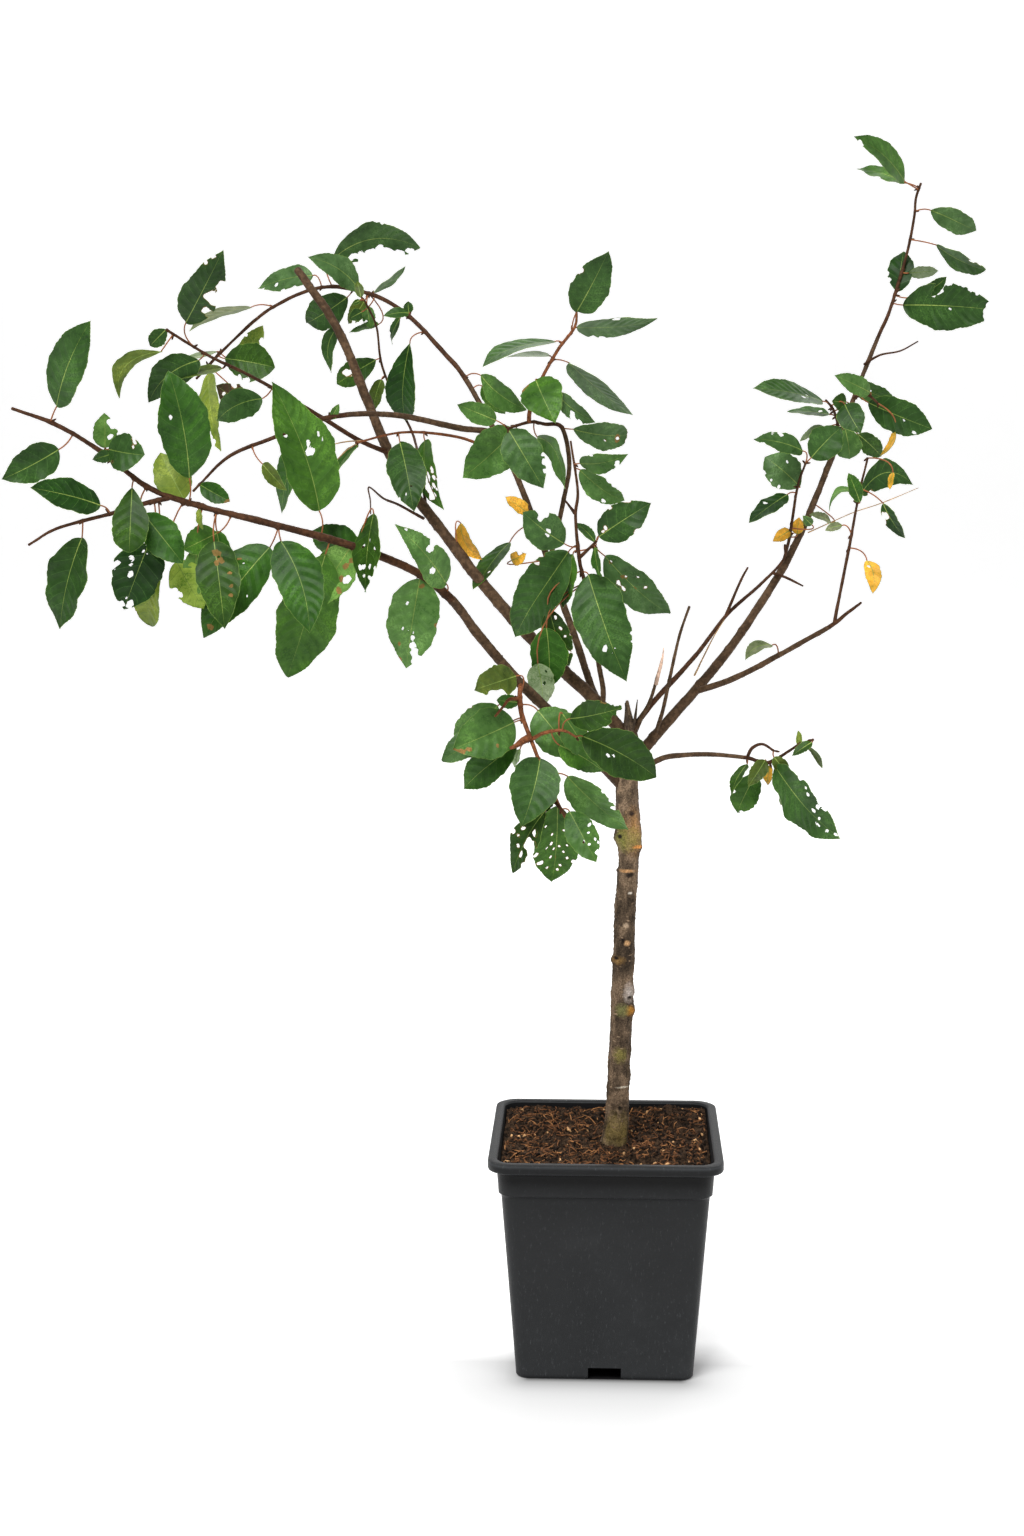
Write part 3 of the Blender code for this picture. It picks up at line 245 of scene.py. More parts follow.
        (0.82, 300, 46, 27, "green2", "whole", 0.44, 0.02, None, 0.29, 71))),
    "right_spur_right": (3.4, 2.2, (
        (245, 162, 942), (254, 150, 946), (260, 142, 944), (267, 134, 937)), (
        (0.67, 155, 43, 19, "green11", "whole", 0.44, -0.01, None, 0.08, -59),
        (0.16, 338, 59, 20, "green9", ((0.33, -0.15, 1.3),), 0.37, 0.03, None, 0.22, 117),
        (0.28, 338, 80, 34, "green2", ((0.6, 0.1, 1.4), (0.79, 0.73, 1.9)), 0.5, 0, None, 0.14, -20),
        (0, 317, 70, 20, "green3", "whole", 0.45, -0.02, None, 0.5, -38),
        (1, 240, 61, 6, "yellow", "whole", 0.39, -0.36, None, 0.53, 62))),
    "right_side": (4.2, 2.4, (
        (206, -57, 731), (220, -68, 744), (233, -76, 755)), ()),
    "right_side_fork": (3.4, 2, (
        (210, -61, 735), (215, -50, 757), (227, -30, 813), (232, -20, 838), (236, -12, 856), (244, 0, 886)), (
        (0.45, 281, 50, 15, "yellow", ((0.22, 0.23, 1.7),), 0.43, -0.1, None, 0.4, 48),
        (0.8, 216, 35, 6, "green11", "whole", 0.39, 0.71, None, 0.13, -22),
        (0.72, 113, 32, 13, "green4", "whole", 0.47, -0.02, None, 0.08, -89),
        (0.78, 9, 52, 27, "green2", ((0.12, 0.92, 2.5), (0.16, 1.27, 2.5)), 0.4, -0.27, None, 0.04, -1),
        (0.81, 304, 65, 13, "green1", ((0.28, 0.48, 4.1), (0.39, 0.92, 2.4)), 0.45, 0.02, None, 0.4, 24),
        (1, 262, 42, 6, "yellow", "whole", 0.44, 0, None, 0.62, 71),
        (0.53, 197, 29, 8, "green12", "whole", 0.41, 0.03, None, 0.43, -62))),
    "low_right": (3.8, 2, (
        (127, -91, 612), (138, -98, 610), (150, -105, 610), (174, -120, 628), (187, -127, 634)), (
        (0.38, 309, 91, 31, "green5", ((0.51, -0.8, 1.8), (0.57, -0.62, 2.3), (0.71, -0.7, 2.5), (0.74, -1.12, 2.9), (0.79, -1.35, 2.9), (0.68, -0.18, 2.3), (0.76, -0.15, 1.8), (0.79, 0.2, 1.6), (0.87, 0.18, 1.6), (0.75, 0.27, 1.4), (0.71, -1.18, 1.4), (0.41, -1.12, 2.8), (0.95, -0.15, 1.8)), 0.5, -0.03, None, 0.05, -7),
        (0.23, 245, 53, 26, "green7", ((0.93, -0.9, 1.9), (0.57, 0.9, 1.9), (0.62, -1.12, 1.2)), 0.5, 0.02, None, 0.21, 3),
        (0.29, 238, 32, 15, "green8", "whole", 0.39, -0.01, None, 0.09, -130),
        (0.34, 264, 22, 9, "yellow", "whole", 0.38, -0.01, None, 0.13, 9),
        (0.9, 299, 29, 5, "green8", "whole", 0.37, -0.39),
        (0.4, 300, 28, 7, "yellow", "whole", 0.45, -0.02, None, 0.3, 1),
        (0.43, 278, 54, 9, "green15", ((0.71, 1.33, 2.3),), 0.43, 0.02, None, 0.53, 11),
        (0.99, 216, 24, 9, "green3", "whole", 0.41, -0.02, None, 0.09, 41),
        (0.78, 86, 14, 5, "green13", "whole", 0.38, 0, None, 0.03, 25))),
    "low_right_spur": (3.4, 2.2, (
        (129, -92, 612), (133, -100, 622), (142, -108, 627), (152, -115, 622)), (
        (0, 240, 36, 9, "green3", "whole", 0.44, -0.02, None, 0.17, 33),
        (1, 307, 29, 13, "green8", "whole", 0.39, -0.02, None, 0.21, -33))),
    "fork_hanging": (5, 2, (
        (-82, -77, 679), (-82, -98, 668), (-79, -112, 652), (-68, -127, 626), (-57, -136, 600), (-38, -146, 563),
        (-14, -153, 528)), (
        (0.24, 211, 85, 28, "green10", "whole", 0.42, -0.02, 0.1, 0.16, -7),
        (0.35, 219, 80, 31, "green4", "whole", 0.45, 0, 0.3, 0.19, -9),
        (0.46, 255, 67, 46, "green5", "whole", 0.38, -0.03, None, 0.03, 101),
        (0.7, 266, 75, 42, "green7", ((0.24, 0.55, 1.2), (0.34, 0.2, 1.3), (0.45, 0.23, 1.6), (0.5, 0.43, 1.2), (0.52, 0.15, 1.2), (0.47, -0.1, 1.3), (0.28, -0.35, 1.3), (0.35, -0.62, 1.5), (0.42, -0.65, 1.3), (0.47, -0.8, 1.4), (0.46, -0.48, 1.2), (0.55, -0.3, 1.3), (0.61, 0.23, 1.4), (0.62, 0, 1.2), (0.62, -0.53, 1.5), (0.73, -0.35, 1.5), (0.76, 0.4, 1.4), (0.8, -0.18, 1.5), (0.57, 0.88, 2.4), (0.69, 0.75, 2.9), (0.68, -1.03, 2.9)), 0.45, -0.02, None, 0.02, -27),
        (0.68, 244, 79, 26, "green3", ((0.35, 0.57, 2.1), (0.61, 0.32, 1.9), (0.68, -0.12, 2.8), (0.48, 0.5, 1.6), (0.5, -0.53, 7.5), (0.62, -1.05, 6.4), (0.78, -1.2, 4.3), (0.47, 1.05, 3.2), (0.31, -0.4, 3.2)), 0.47, 0.01, 0.2, 0.19, -19),
        (0.73, 298, 59, 28, "green9", ((0.43, -0.73, 1.9), (0.53, -0.4, 1.3), (0.63, 0.1, 1.6), (0.7, -0.1, 1.6), (0.69, -0.65, 1.3), (0.76, -0.83, 1.2), (0.48, 0.02, 1.2), (0.92, -1.23, 2.9)), 0.5, 0, None, 0.14, 53),
        (0.55, 319, 95, 30, "green11", ((0.49, -1.15, 2.8), (0.49, -1.35, 4.8), (0.62, -0.8, 3.4), (0.64, -1.23, 4.3), (0.36, -1.35, 2.1)), 0.4, -0.02, None, 0.21, 39),
        (0.6, 254, 29, 18, "green3", "whole", 0.37, -0.01, 0.3, 0.04, -1),
        (0.17, 308, 75, 41, "green9", ((0.57, -0.8, 1.3),), 0.42, -0.01, -0.35, 0.23, 35),
        (0.25, 204, 70, 46, "green9", ((0.6, 0.88, 1.9), (0.98, -1.35, -2.4), (0.9, -0.65, -2.9), (0.8, -0.43, -2.4), (0.41, -0.55, -1.9)), 0.42, -0.01, -0.6, 0.13, -5),
        (0.12, 223, 78, 33, "green11", ((0.31, 1.15, 1.9),), 0.4, 0.01, 0.6, 0.28, -20),
        (0.36, 249, 32, 7, "green17", "whole", 0.44, -0.02, None, 0.43, -24))),
    "fork_hanging_right": (4, 2, (
        (-71, -124, 632), (-58, -134, 640), (-41, -140, 643), (-29, -146, 638)), (
        (0.71, 12, 60, 27, "green3", ((0.78, -1.05, -2.9), (0.77, -0.93, 1.5), (0.86, -1.08, 2.9), (0.95, 1.35, 3.8), (0.83, 0.92, 2.9), (0.94, -1.35, 2.5), (1, 0, 1.9)), 0.5, 0.02, None, 0.23, 42),
        (1, 331, 83, 42, "green3", ((0.35, 0.32, 2.1), (0.42, 0.23, 1.4)), 0.45, -0.04, None, 0.07, 35),
        (0.64, 303, 64, 29, "green9", ((0.53, -0.8, 1.7), (0.69, -1.03, 1.4)), 0.45, -0.01, 0.4, 0.23, 137),
        (0.49, 329, 64, 26, "green7", "whole", 0.37, -0.03, 0.5, 0.24, -27))),
    "fork_hanging_left": (3.6, 2, (
        (-83, -100, 667), (-91, -114, 668), (-96, -124, 663), (-103, -134, 655)), (
        (0, 199, 65, 30, "green8", ((0.57, -1.18, 11.5), (0.78, -1.35, 6.7)), 0.48, 0, None, 0.38, -100),
        (0, 175, 26, 13, "green4", "whole", 0.46, -0.01, 0.4, 0.14, 113))),
    "bare_right": (6, 2.4, (
        (21, 3, 622), (44, 12, 651), (86, 30, 696), (115, 44, 733), (146, 54, 760), (170, 64, 785),
        (172, 67, 800)), ()),
    "bare_right_side": (3.2, 2, (
        (114, 44, 732), (122, 38, 753), (129, 34, 770), (134, 30, 780)), ()),
}

# Finer twigs than the source carries: bark (0 young, 1 dry and pale, 2 dead), and points with a diameter
FINE_TWIGS = {
    "fork_knot": (4, ((-72, -127, 635, 7.5), (-78, -131, 632, 7), (-84, -134, 628, 5), (-89, -136, 626, 3.2))),
    "fork_end": (0, ((-50, -142, 579, 2.6), (-37, -150, 565, 2.4), (-25, -153, 547, 2), (-12, -156, 528, 1.3))),
    "lace_twig": (0, ((-183, 68, 825, 3), (-204, 40, 839, 2.6), (-216, 0, 847, 2.2), (-224, -60, 860, 1.8),
        (-220, -90, 849, 1.4), (-217, -118, 838, 1.2))),
    "right_spur": (0, ((256, 168, 976, 2.6), (271, 160, 985, 2.2), (290, 150, 989, 1.8), (306, 140, 998, 1.4))),
    "right_tendril": (1, ((199, 122, 809, 1.3), (223, 110, 821, 1.1), (244, 100, 831, 1), (269, 92, 840, 0.9),
        (303, 84, 855, 0.7))),
    "cross_twig": (0, ((162, 100, 770, 3.2), (175, 94, 766, 2.6), (192, 88, 758, 1.6))),
    "fork_tendril": (1, ((84, 38, 674, 2), (100, 30, 709, 1.4), (112, 26, 730, 0.8))),
    "stub_centre": (0, ((-34, 60, 831, 4), (-43, 54, 843, 2))),
    "tan_one": (1, ((-243, 58, 901, 1.6), (-258, 50, 900, 1.4), (-276, 42, 896, 0.9))),
    "tan_two": (1, ((-243, 58, 900, 1.6), (-256, 46, 892, 1.3), (-269, 38, 878, 0.9))),
    "stub_left": (2, ((19, -3, 619, 5.5), (18, -4, 637, 3.4), (16, -5, 652, 0.8))),
    "torn_tip": (3, ((45.8, -14, 671, 3.6), (48, -16, 682, 3.5), (50.3, -17.4, 692, 3.2), (51.5, -18.5, 698, 1.8),
        (52.5, -19, 707, 0.6))),
    "stub_right": (2, ((24, -2, 617, 5), (26, -3, 637, 3.2), (28, -4, 655, 0.8))),
}

# Masses: the bough that each grows from, whether it runs on from that bough's tip, and its stems
MASSES = {
    "foliage_low_left": ("bough_low_left", True, ("low_left", "low_left_fork")),
    "foliage_arching": ("bough_arching", True, ("arching",)),
    "foliage_level_left": ("bough_level_left", True, ("level_left",)),
    "foliage_level_side": ("bough_arching", False, ("level_side",)),
    "foliage_cut_side": ("bough_left_cut", False, ("cut_side",)),
    "foliage_thin_upright": ("bough_left_cut", False, ("thin_upright",)),
    "foliage_centre_top": ("bough_centre_back", True, ("nodding_tip", "centre_upright")),
    "foliage_centre_front": ("bough_centre_front", True, ("centre_front", "centre_front_spur")),
    "foliage_fork": ("bough_low_left", False, ("fork_hanging", "fork_hanging_right", "fork_hanging_left")),
    "foliage_right_top": ("bough_right", True, ("right_top",)),
    "foliage_right_inner": ("bough_right", False, ("right_inner",)),
    "foliage_right_spur_left": ("bough_right", False, ("right_spur_left",)),
    "foliage_right_spur_right": ("bough_right", False, ("right_spur_right",)),
    "foliage_right_side": ("bough_right_side", True, ("right_side", "right_side_fork")),
    "foliage_low_right": ("bough_low_right", True, ("low_right", "low_right_spur")),
    "twigs_bare_right": ("trunk", False, ("bare_right", "bare_right_side")),
}

# Single leaves on the boughs themselves
BOUGH_LEAVES = {
    "bough_arching": (
        (0.56, 234, 90, 16, "green3", ((0.69, -0.5, 1.7),), 0.45, -0.03, None, 0.36, -17),
        (0.57, 144, 37, 13, "yellow", "whole", 0.39, -0.03, None, 0.15, -12),
        (0.45, 25, 52, 14, "yellow", ((0.79, -1.35, 2.9),), 0.38, 0.02, None, 0.68, 154),
        (0.97, 311, 47, 17, "green7", ((0.56, -0.68, 1.7),), 0.45, -0.01, None, 0.23, 68)),
    "bough_left_cut": (
        (0.89, 262, 52, 13, "green2", "whole", 0.39, 0.18, 0.5, 0.13, 49),
        (0.43, 302, 70, 15, "yellow", ((0.55, -1.35, 3.4),), 0.43, 0.14, None, 0.41, 145)),
    "bough_right": (
        (0.65, 163, 46, 8, "green12", "whole", 0.38, 0.02, None, 0.49, 150),
        (0.61, 196, 35, 8, "yellow", "whole", 0.39, 0.01, None, 0.49, 27)),
    "bough_right_side": (
        (0.64, 208, 40, 11, "green12", "whole", 0.42, 0.13, None, 0.31, -79),),
}

# The pieces of leaves, and the masses that each holds
CROWN_PARTS = {
    "leaves_low_left": ("foliage_low_left",),
    "leaves_upper_left": ("foliage_arching", "foliage_level_left", "foliage_level_side", "foliage_cut_side",
                          "foliage_thin_upright"),
    "leaves_centre": ("foliage_centre_top", "foliage_centre_front"),
    "leaves_fork": ("foliage_fork",),
    "leaves_right": ("foliage_right_top", "foliage_right_inner", "foliage_right_spur_left",
                     "foliage_right_spur_right", "foliage_right_side", "foliage_low_right"),
}

# Leaf form, as shares of the blade's own length unless they say otherwise
PETIOLE_SHARE = 0.16            # of the reach
FULL_REACH = 122                # mm: a leaf that shows shorter than this leans out of the picture plane
MOST_LEAN = 38                  # degrees
GOLDEN = 0.618
TOWARDS_VIEW = np.array([0.0, -1.0, 0.0])
NATURAL_WIDTH = 0.5
POWER_SUM = 1.42
DRIP_TIP = 0.45
LEAF_FORM = (                   # least and most camber, fold, curl, twist, edge wave and its rate
    (0.03, 0.09), (0.10, 0.32), (-0.15, 0.35), (-0.35, 0.35), (0.015, 0.05), (1.3, 2.8))
FURROW = 0.009                  # of the width
LEAF_THICKNESS = 0.4            # mm
RIM_WIDTH = 0.45                # mm
BROWN_RIMS = 0.35               # of the worn leaves
SMALL_MARK = 3.0                # mm: smaller holes and spots are set on a point of the blade's grid
TOOTH = 0.32                    # mm
TEETH = np.array([-0.6, 0.5, 1.0, 0.3])
MARGIN_WIDTH = 0.3              # mm
RIB_HALF = 0.42                 # mm
VEIN_SPACING = 11.5             # mm
VEIN_START = 0.045
VEINED = 0.84
VEIN_SHARE = 0.025              # of the space between two veins
VEIN_SWEEP = 0.75
STALK_RADIUS = 0.64             # mm

# Pot: the outer and inner wall as rounded squares, each a height, half a side and a corner radius
POT_RINGS = (
    (0, 83.4, 10.0), (0.5, 84.9, 11.0), (2, 86.2, 12.4), (5, 86.4, 12.5), (183, 99.8, 14.9), (186.0, 100.0, 15),
    (188, 101.0, 16), (189, 102.7, 17), (192, 102.9, 17.2), (208, 104, 17.9), (210.5, 104.2, 18), (212, 105.5, 18.5), (213, 110.0, 20), (214, 112.2, 21.5), (215.5, 112.8, 22),
    (221.3, 112.8, 22), (222.8, 112.3, 21.6), (223.5, 111.0, 21), (223.5, 105.8, 17.5), (222.8, 104.4, 17),
    (221.5, 103.6, 16.5), (210, 102.0, 16), (190, 100.6, 15), (185, 98.0, 13), (5.6, 85.0, 11), (3.6, 82.5, 9),
)
CORNER_STEPS = 14
SIDE_STEPS = 24
NOTCH_WIDTH = 32
NOTCH_HEIGHT = 12.5
NOTCH_FOOT = 0.8
NOTCH_DEPTH = 24

COMPOST_HALF = 101.6
COMPOST_CORNER = 15.6
COMPOST_TOP = 211.7
COMPOST_FOOT = 16.0


# Small helpers

def unit(rows):
    """Rows of vectors at length one."""
    return rows / np.linalg.norm(rows, axis=-1, keepdims=True)


def smoothstep(low, high, values):
    """0 below low, 1 above high, and an even curve between."""
    t = np.clip((values - low) / (high - low), 0, 1)
    return t * t * (3 - 2 * t)


def waves(rng, count, slowest, fastest, *grids):
    """A smooth noise of mean 0 and about unit size: a sum of sine waves of random direction, rate and phase."""
    total = np.zeros(np.broadcast(*grids).shape)
    for _ in range(count):
        rate = rng.uniform(slowest, fastest)
        direction = unit(rng.normal(size=len(grids)))
        phase = rng.uniform(0, 2 * np.pi)
        total = total + np.sin(2 * np.pi * rate * sum(d * g for d, g in zip(direction, grids)) + phase)
    return total * math.sqrt(2 / count)


def grid_faces(rows, columns, closed_across=False):
    """Quads of a grid of vertices numbered row by row, wound so that rows x columns points outwards."""
    row, column = np.meshgrid(np.arange(rows - 1), np.arange(columns if closed_across else columns - 1), indexing="ij")
    after = (column + 1) % columns
    a, b = row * columns + column, row * columns + after
    c, d = (row + 1) * columns + after, (row + 1) * columns + column
    return np.stack([a, b, c, d], axis=-1).reshape(-1, 4)


class Gather:
    """Vertices in millimetres, quads and triangles with a material number each, gathered into one mesh."""

    def __init__(self):
        self.points, self.faces, self.marks, self.count = [], [], [], 0

    def add(self, points, faces, mark=0):
        """Adds vertices, and faces as rows of 4 vertex numbers, the last one repeated for a triangle."""
        self.points.append(np.asarray(points, float).reshape(-1, 3))
        self.faces.append(np.asarray(faces, int) + self.count)
        self.marks.append(np.broadcast_to(mark, len(faces)))
        self.count += len(self.points[-1])

    def build(self, name, materials, smooth_angle=None):
        """One object at the origin, with its place in its mesh."""
        faces = np.concatenate(self.faces)
        marks = np.concatenate(self.marks)
        triangle = faces[:, 2] == faces[:, 3]
        sizes = np.where(triangle, 3, 4)
        corners = faces[np.arange(4)[None, :] < sizes[:, None]]
        mesh = bpy.data.meshes.new(name)
        points = np.concatenate(self.points) * MM
        mesh.vertices.add(len(points))
        mesh.vertices.foreach_set("co", points.astype(np.float32).ravel())
        mesh.loops.add(len(corners))
        mesh.loops.foreach_set("vertex_index", corners.astype(np.int32))
        mesh.polygons.add(len(faces))
        mesh.polygons.foreach_set("loop_start", np.concatenate([[0], np.cumsum(sizes)[:-1]]).astype(np.int32))
        mesh.polygons.foreach_set("material_index", marks.astype(np.int32))
        mesh.update(calc_edges=True)
        for material in materials:
            mesh.materials.append(material)
        mesh.shade_smooth()
        if smooth_angle is not None:
            mesh.set_sharp_from_angle(angle=smooth_angle)
        piece = bpy.data.objects.new(name, mesh)
        bpy.context.scene.collection.objects.link(piece)
        return piece


def place(piece, slot, *nodes):
    """The piece rides on the tree's one body and stands for CAD nodes, which it hides; its slot is not used."""
    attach(piece, "root")
    if nodes:
        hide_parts(*nodes)


# Paths

def catmull_rom(points, steps):
    """The curve 0.5(2b + (c-a)t + (2a-5b+4c-d)t^2 + (3b-a-3c+d)t^3) between each two points b and c."""
    points = np.asarray(points, float)
    padded = np.vstack([2 * points[0] - points[1], points, 2 * points[-1] - points[-2]])
    a, b, c, d = (padded[i:len(padded) - 3 + i, None, :] for i in range(4))
    t = (np.arange(steps) / steps)[None, :, None]
    curve = 0.5 * (2 * b + (c - a) * t + (2 * a - 5 * b + 4 * c - d) * t ** 2 + (3 * b - a - 3 * c + d) * t ** 3)
    return np.vstack([curve.reshape(-1, 3), points[-1]])


def run_lengths(path):
    """How far along a path each of its points lies, in millimetres."""
    return np.concatenate([[0], np.cumsum(np.linalg.norm(np.diff(path, axis=0), axis=1))])


def at_run(path, run):
    """Points of a path at given distances along it."""
    runs = run_lengths(path)
    return np.stack([np.interp(run, runs, path[:, axis]) for axis in range(3)], axis=-1)


def evenly(path, spacing):
    """The same path with points an even spacing apart, and their distances along it."""
    length = run_lengths(path)[-1]
    run = np.linspace(0, length, max(4, int(round(length / spacing)) + 1))
    return at_run(path, run), run


def frames(path):
    """Directions across a path: one level across the view's depth and one square to it and to the path."""
    tangent = unit(np.gradient(path, axis=0))
    side = unit(np.cross(tangent, np.array([0.0, 1.0, 0.0])))
    return tangent, side, np.cross(side, tangent)


def tube(gather, path, radius, corners, mark=0, cap_rows=3):
    """A tube round a path: point = centre + radius(along, angle)(side cos + up sin), closed by domed ends.

    The radius is a number, a row along the path, or a grid along and round it.
    """
    radius = np.broadcast_to(np.asarray(radius, float).reshape(-1, 1) if np.ndim(radius) == 1 else radius,
                             (len(path), corners))
    tangent, side, up = frames(path)
    angle = np.linspace(0, 2 * np.pi, corners, endpoint=False)
    round_it = side[:, None, :] * np.cos(angle)[None, :, None] + up[:, None, :] * np.sin(angle)[None, :, None]
    wall = path[:, None, :] + radius[:, :, None] * round_it
    dome = np.linspace(0, np.pi / 2, cap_rows + 1)[1:-1]
    first = [path[0] + radius[0][:, None] * round_it[0] * math.cos(a) - tangent[0] * radius[0].mean() * 0.6
             * math.sin(a) for a in dome[::-1]]
    last = [path[-1] + radius[-1][:, None] * round_it[-1] * math.cos(a) + tangent[-1] * radius[-1].mean() * 0.6
            * math.sin(a) for a in dome]
    rows = np.concatenate([np.array(first).reshape(-1, corners, 3), wall, np.array(last).reshape(-1, corners, 3)])
    poles = np.array([path[0] - tangent[0] * radius[0].mean() * 0.6, path[-1] + tangent[-1] * radius[-1].mean() * 0.6])
    count = len(rows) * corners
    faces = grid_faces(len(rows), corners, closed_across=True)
    ring = np.arange(corners)
    after = (ring + 1) % corners
    foot = np.stack([np.full(corners, count), after, ring, ring], axis=-1)
    top = count - corners
    head = np.stack([np.full(corners, count + 1), top + ring, top + after, top + after], axis=-1)
    gather.add(np.vstack([rows.reshape(-1, 3), poles]), np.vstack([faces, foot, head]), mark)


def tapered(run, root, tip):
    """Diameters that fall evenly along a path."""
    return root + (tip - root) * run / run[-1]


def limb_paths(steps=12):
    """The centre line of the trunk, of each bough with the stem that runs on from it, and of each other stem."""
    paths = {"trunk": catmull_rom([row[:3] for row in TRUNK], steps)}
    running = {parent: stems[0] for parent, runs_on, stems in MASSES.values() if runs_on}
    for name, (_, _, _, points) in BOUGHS.items():
        stem = running.get(name)
        if stem is None:
            paths[name] = catmull_rom(points, steps)
            continue
        whole = catmull_rom([*points, *STEMS[stem][2][1:]], steps)
        split = (len(points) - 1) * steps
        paths[name], paths[stem] = whole[:split + 1], whole[split:]
    for name, (_, _, points, _) in STEMS.items():
        if name not in paths:
            paths[name] = catmull_rom(points, steps)
    return paths


# Leaves

def shape_share(share, widest):
    """How wide a blade is at a share of its length, 1 at its widest: s^p (1-s)^q over its peak, drawn in at the tip.

    The powers p and q add up to one sum and put the peak at widest.
    """
    share = np.clip(share, 0, 1)
    low, high = POWER_SUM * widest, POWER_SUM * (1 - widest)
    peak = widest ** low * (1 - widest) ** high
    return share ** low * (1 - share) ** high / peak * (1 - DRIP_TIP * np.exp((share - 1) / 0.07))


def turned(vector, axis, angle):
    """A vector turned about an axis of length one."""
    return (vector * math.cos(angle) + np.cross(axis, vector) * math.sin(angle)
            + axis * (axis @ vector) * (1 - math.cos(angle)))


def leaf_axes(root, order, bearing, reach, blade, width, lean=None):
    """Length factor and directions of a leaf: along its midrib, across it, and out of its upper side.

    The lean is a share of the largest lean that keeps the leaf within its full reach: the golden share of its
    order, unless its row gives one. The turn about the midrib is the one that makes a blade of natural width
    show as wide as its row says.
    """
    most = min(MOST_LEAN, math.degrees(math.acos(min(1, reach / FULL_REACH))))
    lean = math.radians(most * (2 * (order * GOLDEN % 1) - 1 if lean is None else lean))
    angle = math.radians(bearing)
    sight = unit(root - VIEWPOINT)
    along = np.array([math.cos(angle), 0, math.sin(angle)]) + sight * math.tan(lean)
    longer = np.linalg.norm(along)
    along = along / longer
    normal = unit(along * (along @ sight) - sight)
    turn = math.copysign(math.acos(min(1, abs(width) / (NATURAL_WIDTH * blade))), width)
    normal = turned(normal, along, turn)
    return longer, along, np.cross(along, normal), normal


def wear_marks(wear, width, rng):
    """Holes and bites of a blade's kind of wear: rows of share along, side from -1 to 1, and radius in millimetres."""
    def spots(count, low, high, sides=(-0.8, 0.8), reach=(0.15, 0.85)):
        return [(rng.uniform(*reach), rng.uniform(*sides), rng.uniform(low, high)) for _ in range(count)]

    def bites(count, low, high, side, reach=(0.3, 0.85)):
        start = rng.uniform(reach[0], reach[1] - 0.2)
        return [(min(0.95, start + 0.06 * i), side * rng.uniform(0.85, 1.1), rng.uniform(low, high))
                for i in range(count)]

    size = width / 20
    kinds = {
        "whole": lambda: [],
        "pricked": lambda: spots(6, 0.7, 1.5),
        "holed": lambda: spots(5, 1.2 * size, 2.2 * size) + bites(2, 2, 3, rng.choice((-1, 1))),
        "lace": lambda: spots(20, 0.9, 2.2),
        "torn_left": lambda: bites(6, 2.4 * size, 4.2 * size, -1),
        "torn_right": lambda: bites(6, 2.4 * size, 4.2 * size, 1),
        "torn_tip": lambda: [(0.97, 0.4, 4 * size), (0.9, 0.9, 4 * size), (0.82, -1.0, 2.5 * size)] + bites(2, 2, 3, 1),
        "split": lambda: [(1.0, 0.0, 2.6), (0.96, 0.1, 1.6), (0.92, 0.0, 1.0)] + spots(2, 0.8, 1.2),
        "ragged": lambda: bites(5, 2.0, 3.6, -1) + bites(5, 2.0, 3.6, 1) + spots(3, 1.2, 2.2),
    }
    return kinds[wear]() if isinstance(wear, str) else wear


def blade_rows(veins):
    """Shares along the midrib for a blade's rows, and the rows at which its left and its right veins start.

    The rows stand close together at base and tip, and in pairs, a vein's width apart, at each vein.
    """
    step = VEINED / veins
    pair = np.array([0, VEIN_SHARE, 0.20, 0.35, 0.5, 0.5 + VEIN_SHARE, 0.70, 0.85]) * step
    middle = VEIN_START + (np.arange(veins)[:, None] * step + pair[None, :]).ravel()
    tip = VEIN_START + VEINED + (1 - VEIN_START - VEINED) * np.array([0, 0.2, 0.38, 0.54, 0.68, 0.8, 0.9, 0.96, 1])
    left = 4 + 8 * np.arange(veins)
    return np.concatenate([[0, 0.004, 0.012, 0.026], middle, tip]), left, left + 4


def cut_open(faces, kinds, depth):
    """A sheet of quads cut along the line where depth is nought: whole quads stay, crossed ones leave smaller faces.

    Returns the two ends of the edge that each new vertex lies on, its share along it, and the faces and kinds left.
    """
    inside = depth > 0
    count = inside[faces].sum(axis=1)
    crossed = (count > 0) & (count < 4)
    quads, third = faces[crossed], np.tile(kinds[crossed], 2)
    triangles = np.concatenate([quads[:, [0, 1, 2]], quads[:, [0, 2, 3]]])
    within = inside[triangles]
    number = within.sum(axis=1)
    odd = np.where(number == 1, within.argmax(axis=1), (~within).argmax(axis=1))
    triangles = np.take_along_axis(triangles, (odd[:, None] + np.arange(3)) % 3, axis=1)
    one, two, three = (triangles[number == n] for n in (1, 2, 3))
    edges = np.concatenate([one[:, [0, 1]], one[:, [0, 2]], two[:, [0, 1]], two[:, [0, 2]]])
    ends, which = np.unique(np.sort(edges, axis=1), axis=0, return_inverse=True)
    one_a, one_b, two_a, two_b = np.split(which.ravel() + len(depth), np.cumsum([len(one), len(one), len(two)]))
    share = depth[ends[:, 0]] / (depth[ends[:, 0]] - depth[ends[:, 1]])
    faces = np.concatenate([faces[count == 4], three[:, [0, 1, 2, 2]],
                            np.stack([one[:, 0], one_a, one_b, one_b], axis=-1),
                            np.stack([two_a, two[:, 1], two[:, 2], two_b], axis=-1)])
    kinds = np.concatenate([kinds[count == 4], third[number == 3], third[number == 1], third[number == 2]])
    return ends, share, faces, kinds


def painted(faces, kinds, depth, kind):
    """A sheet of quads cut along the line where depth is nought, with both parts kept and the inner one of its own kind."""
    ends, share, outer, outer_kinds = cut_open(faces, kinds, depth)
    _, _, inner, _ = cut_open(faces, kinds, -depth)
    return ends, share, np.concatenate([outer, inner]), np.concatenate([outer_kinds, np.full(len(inner), kind)])


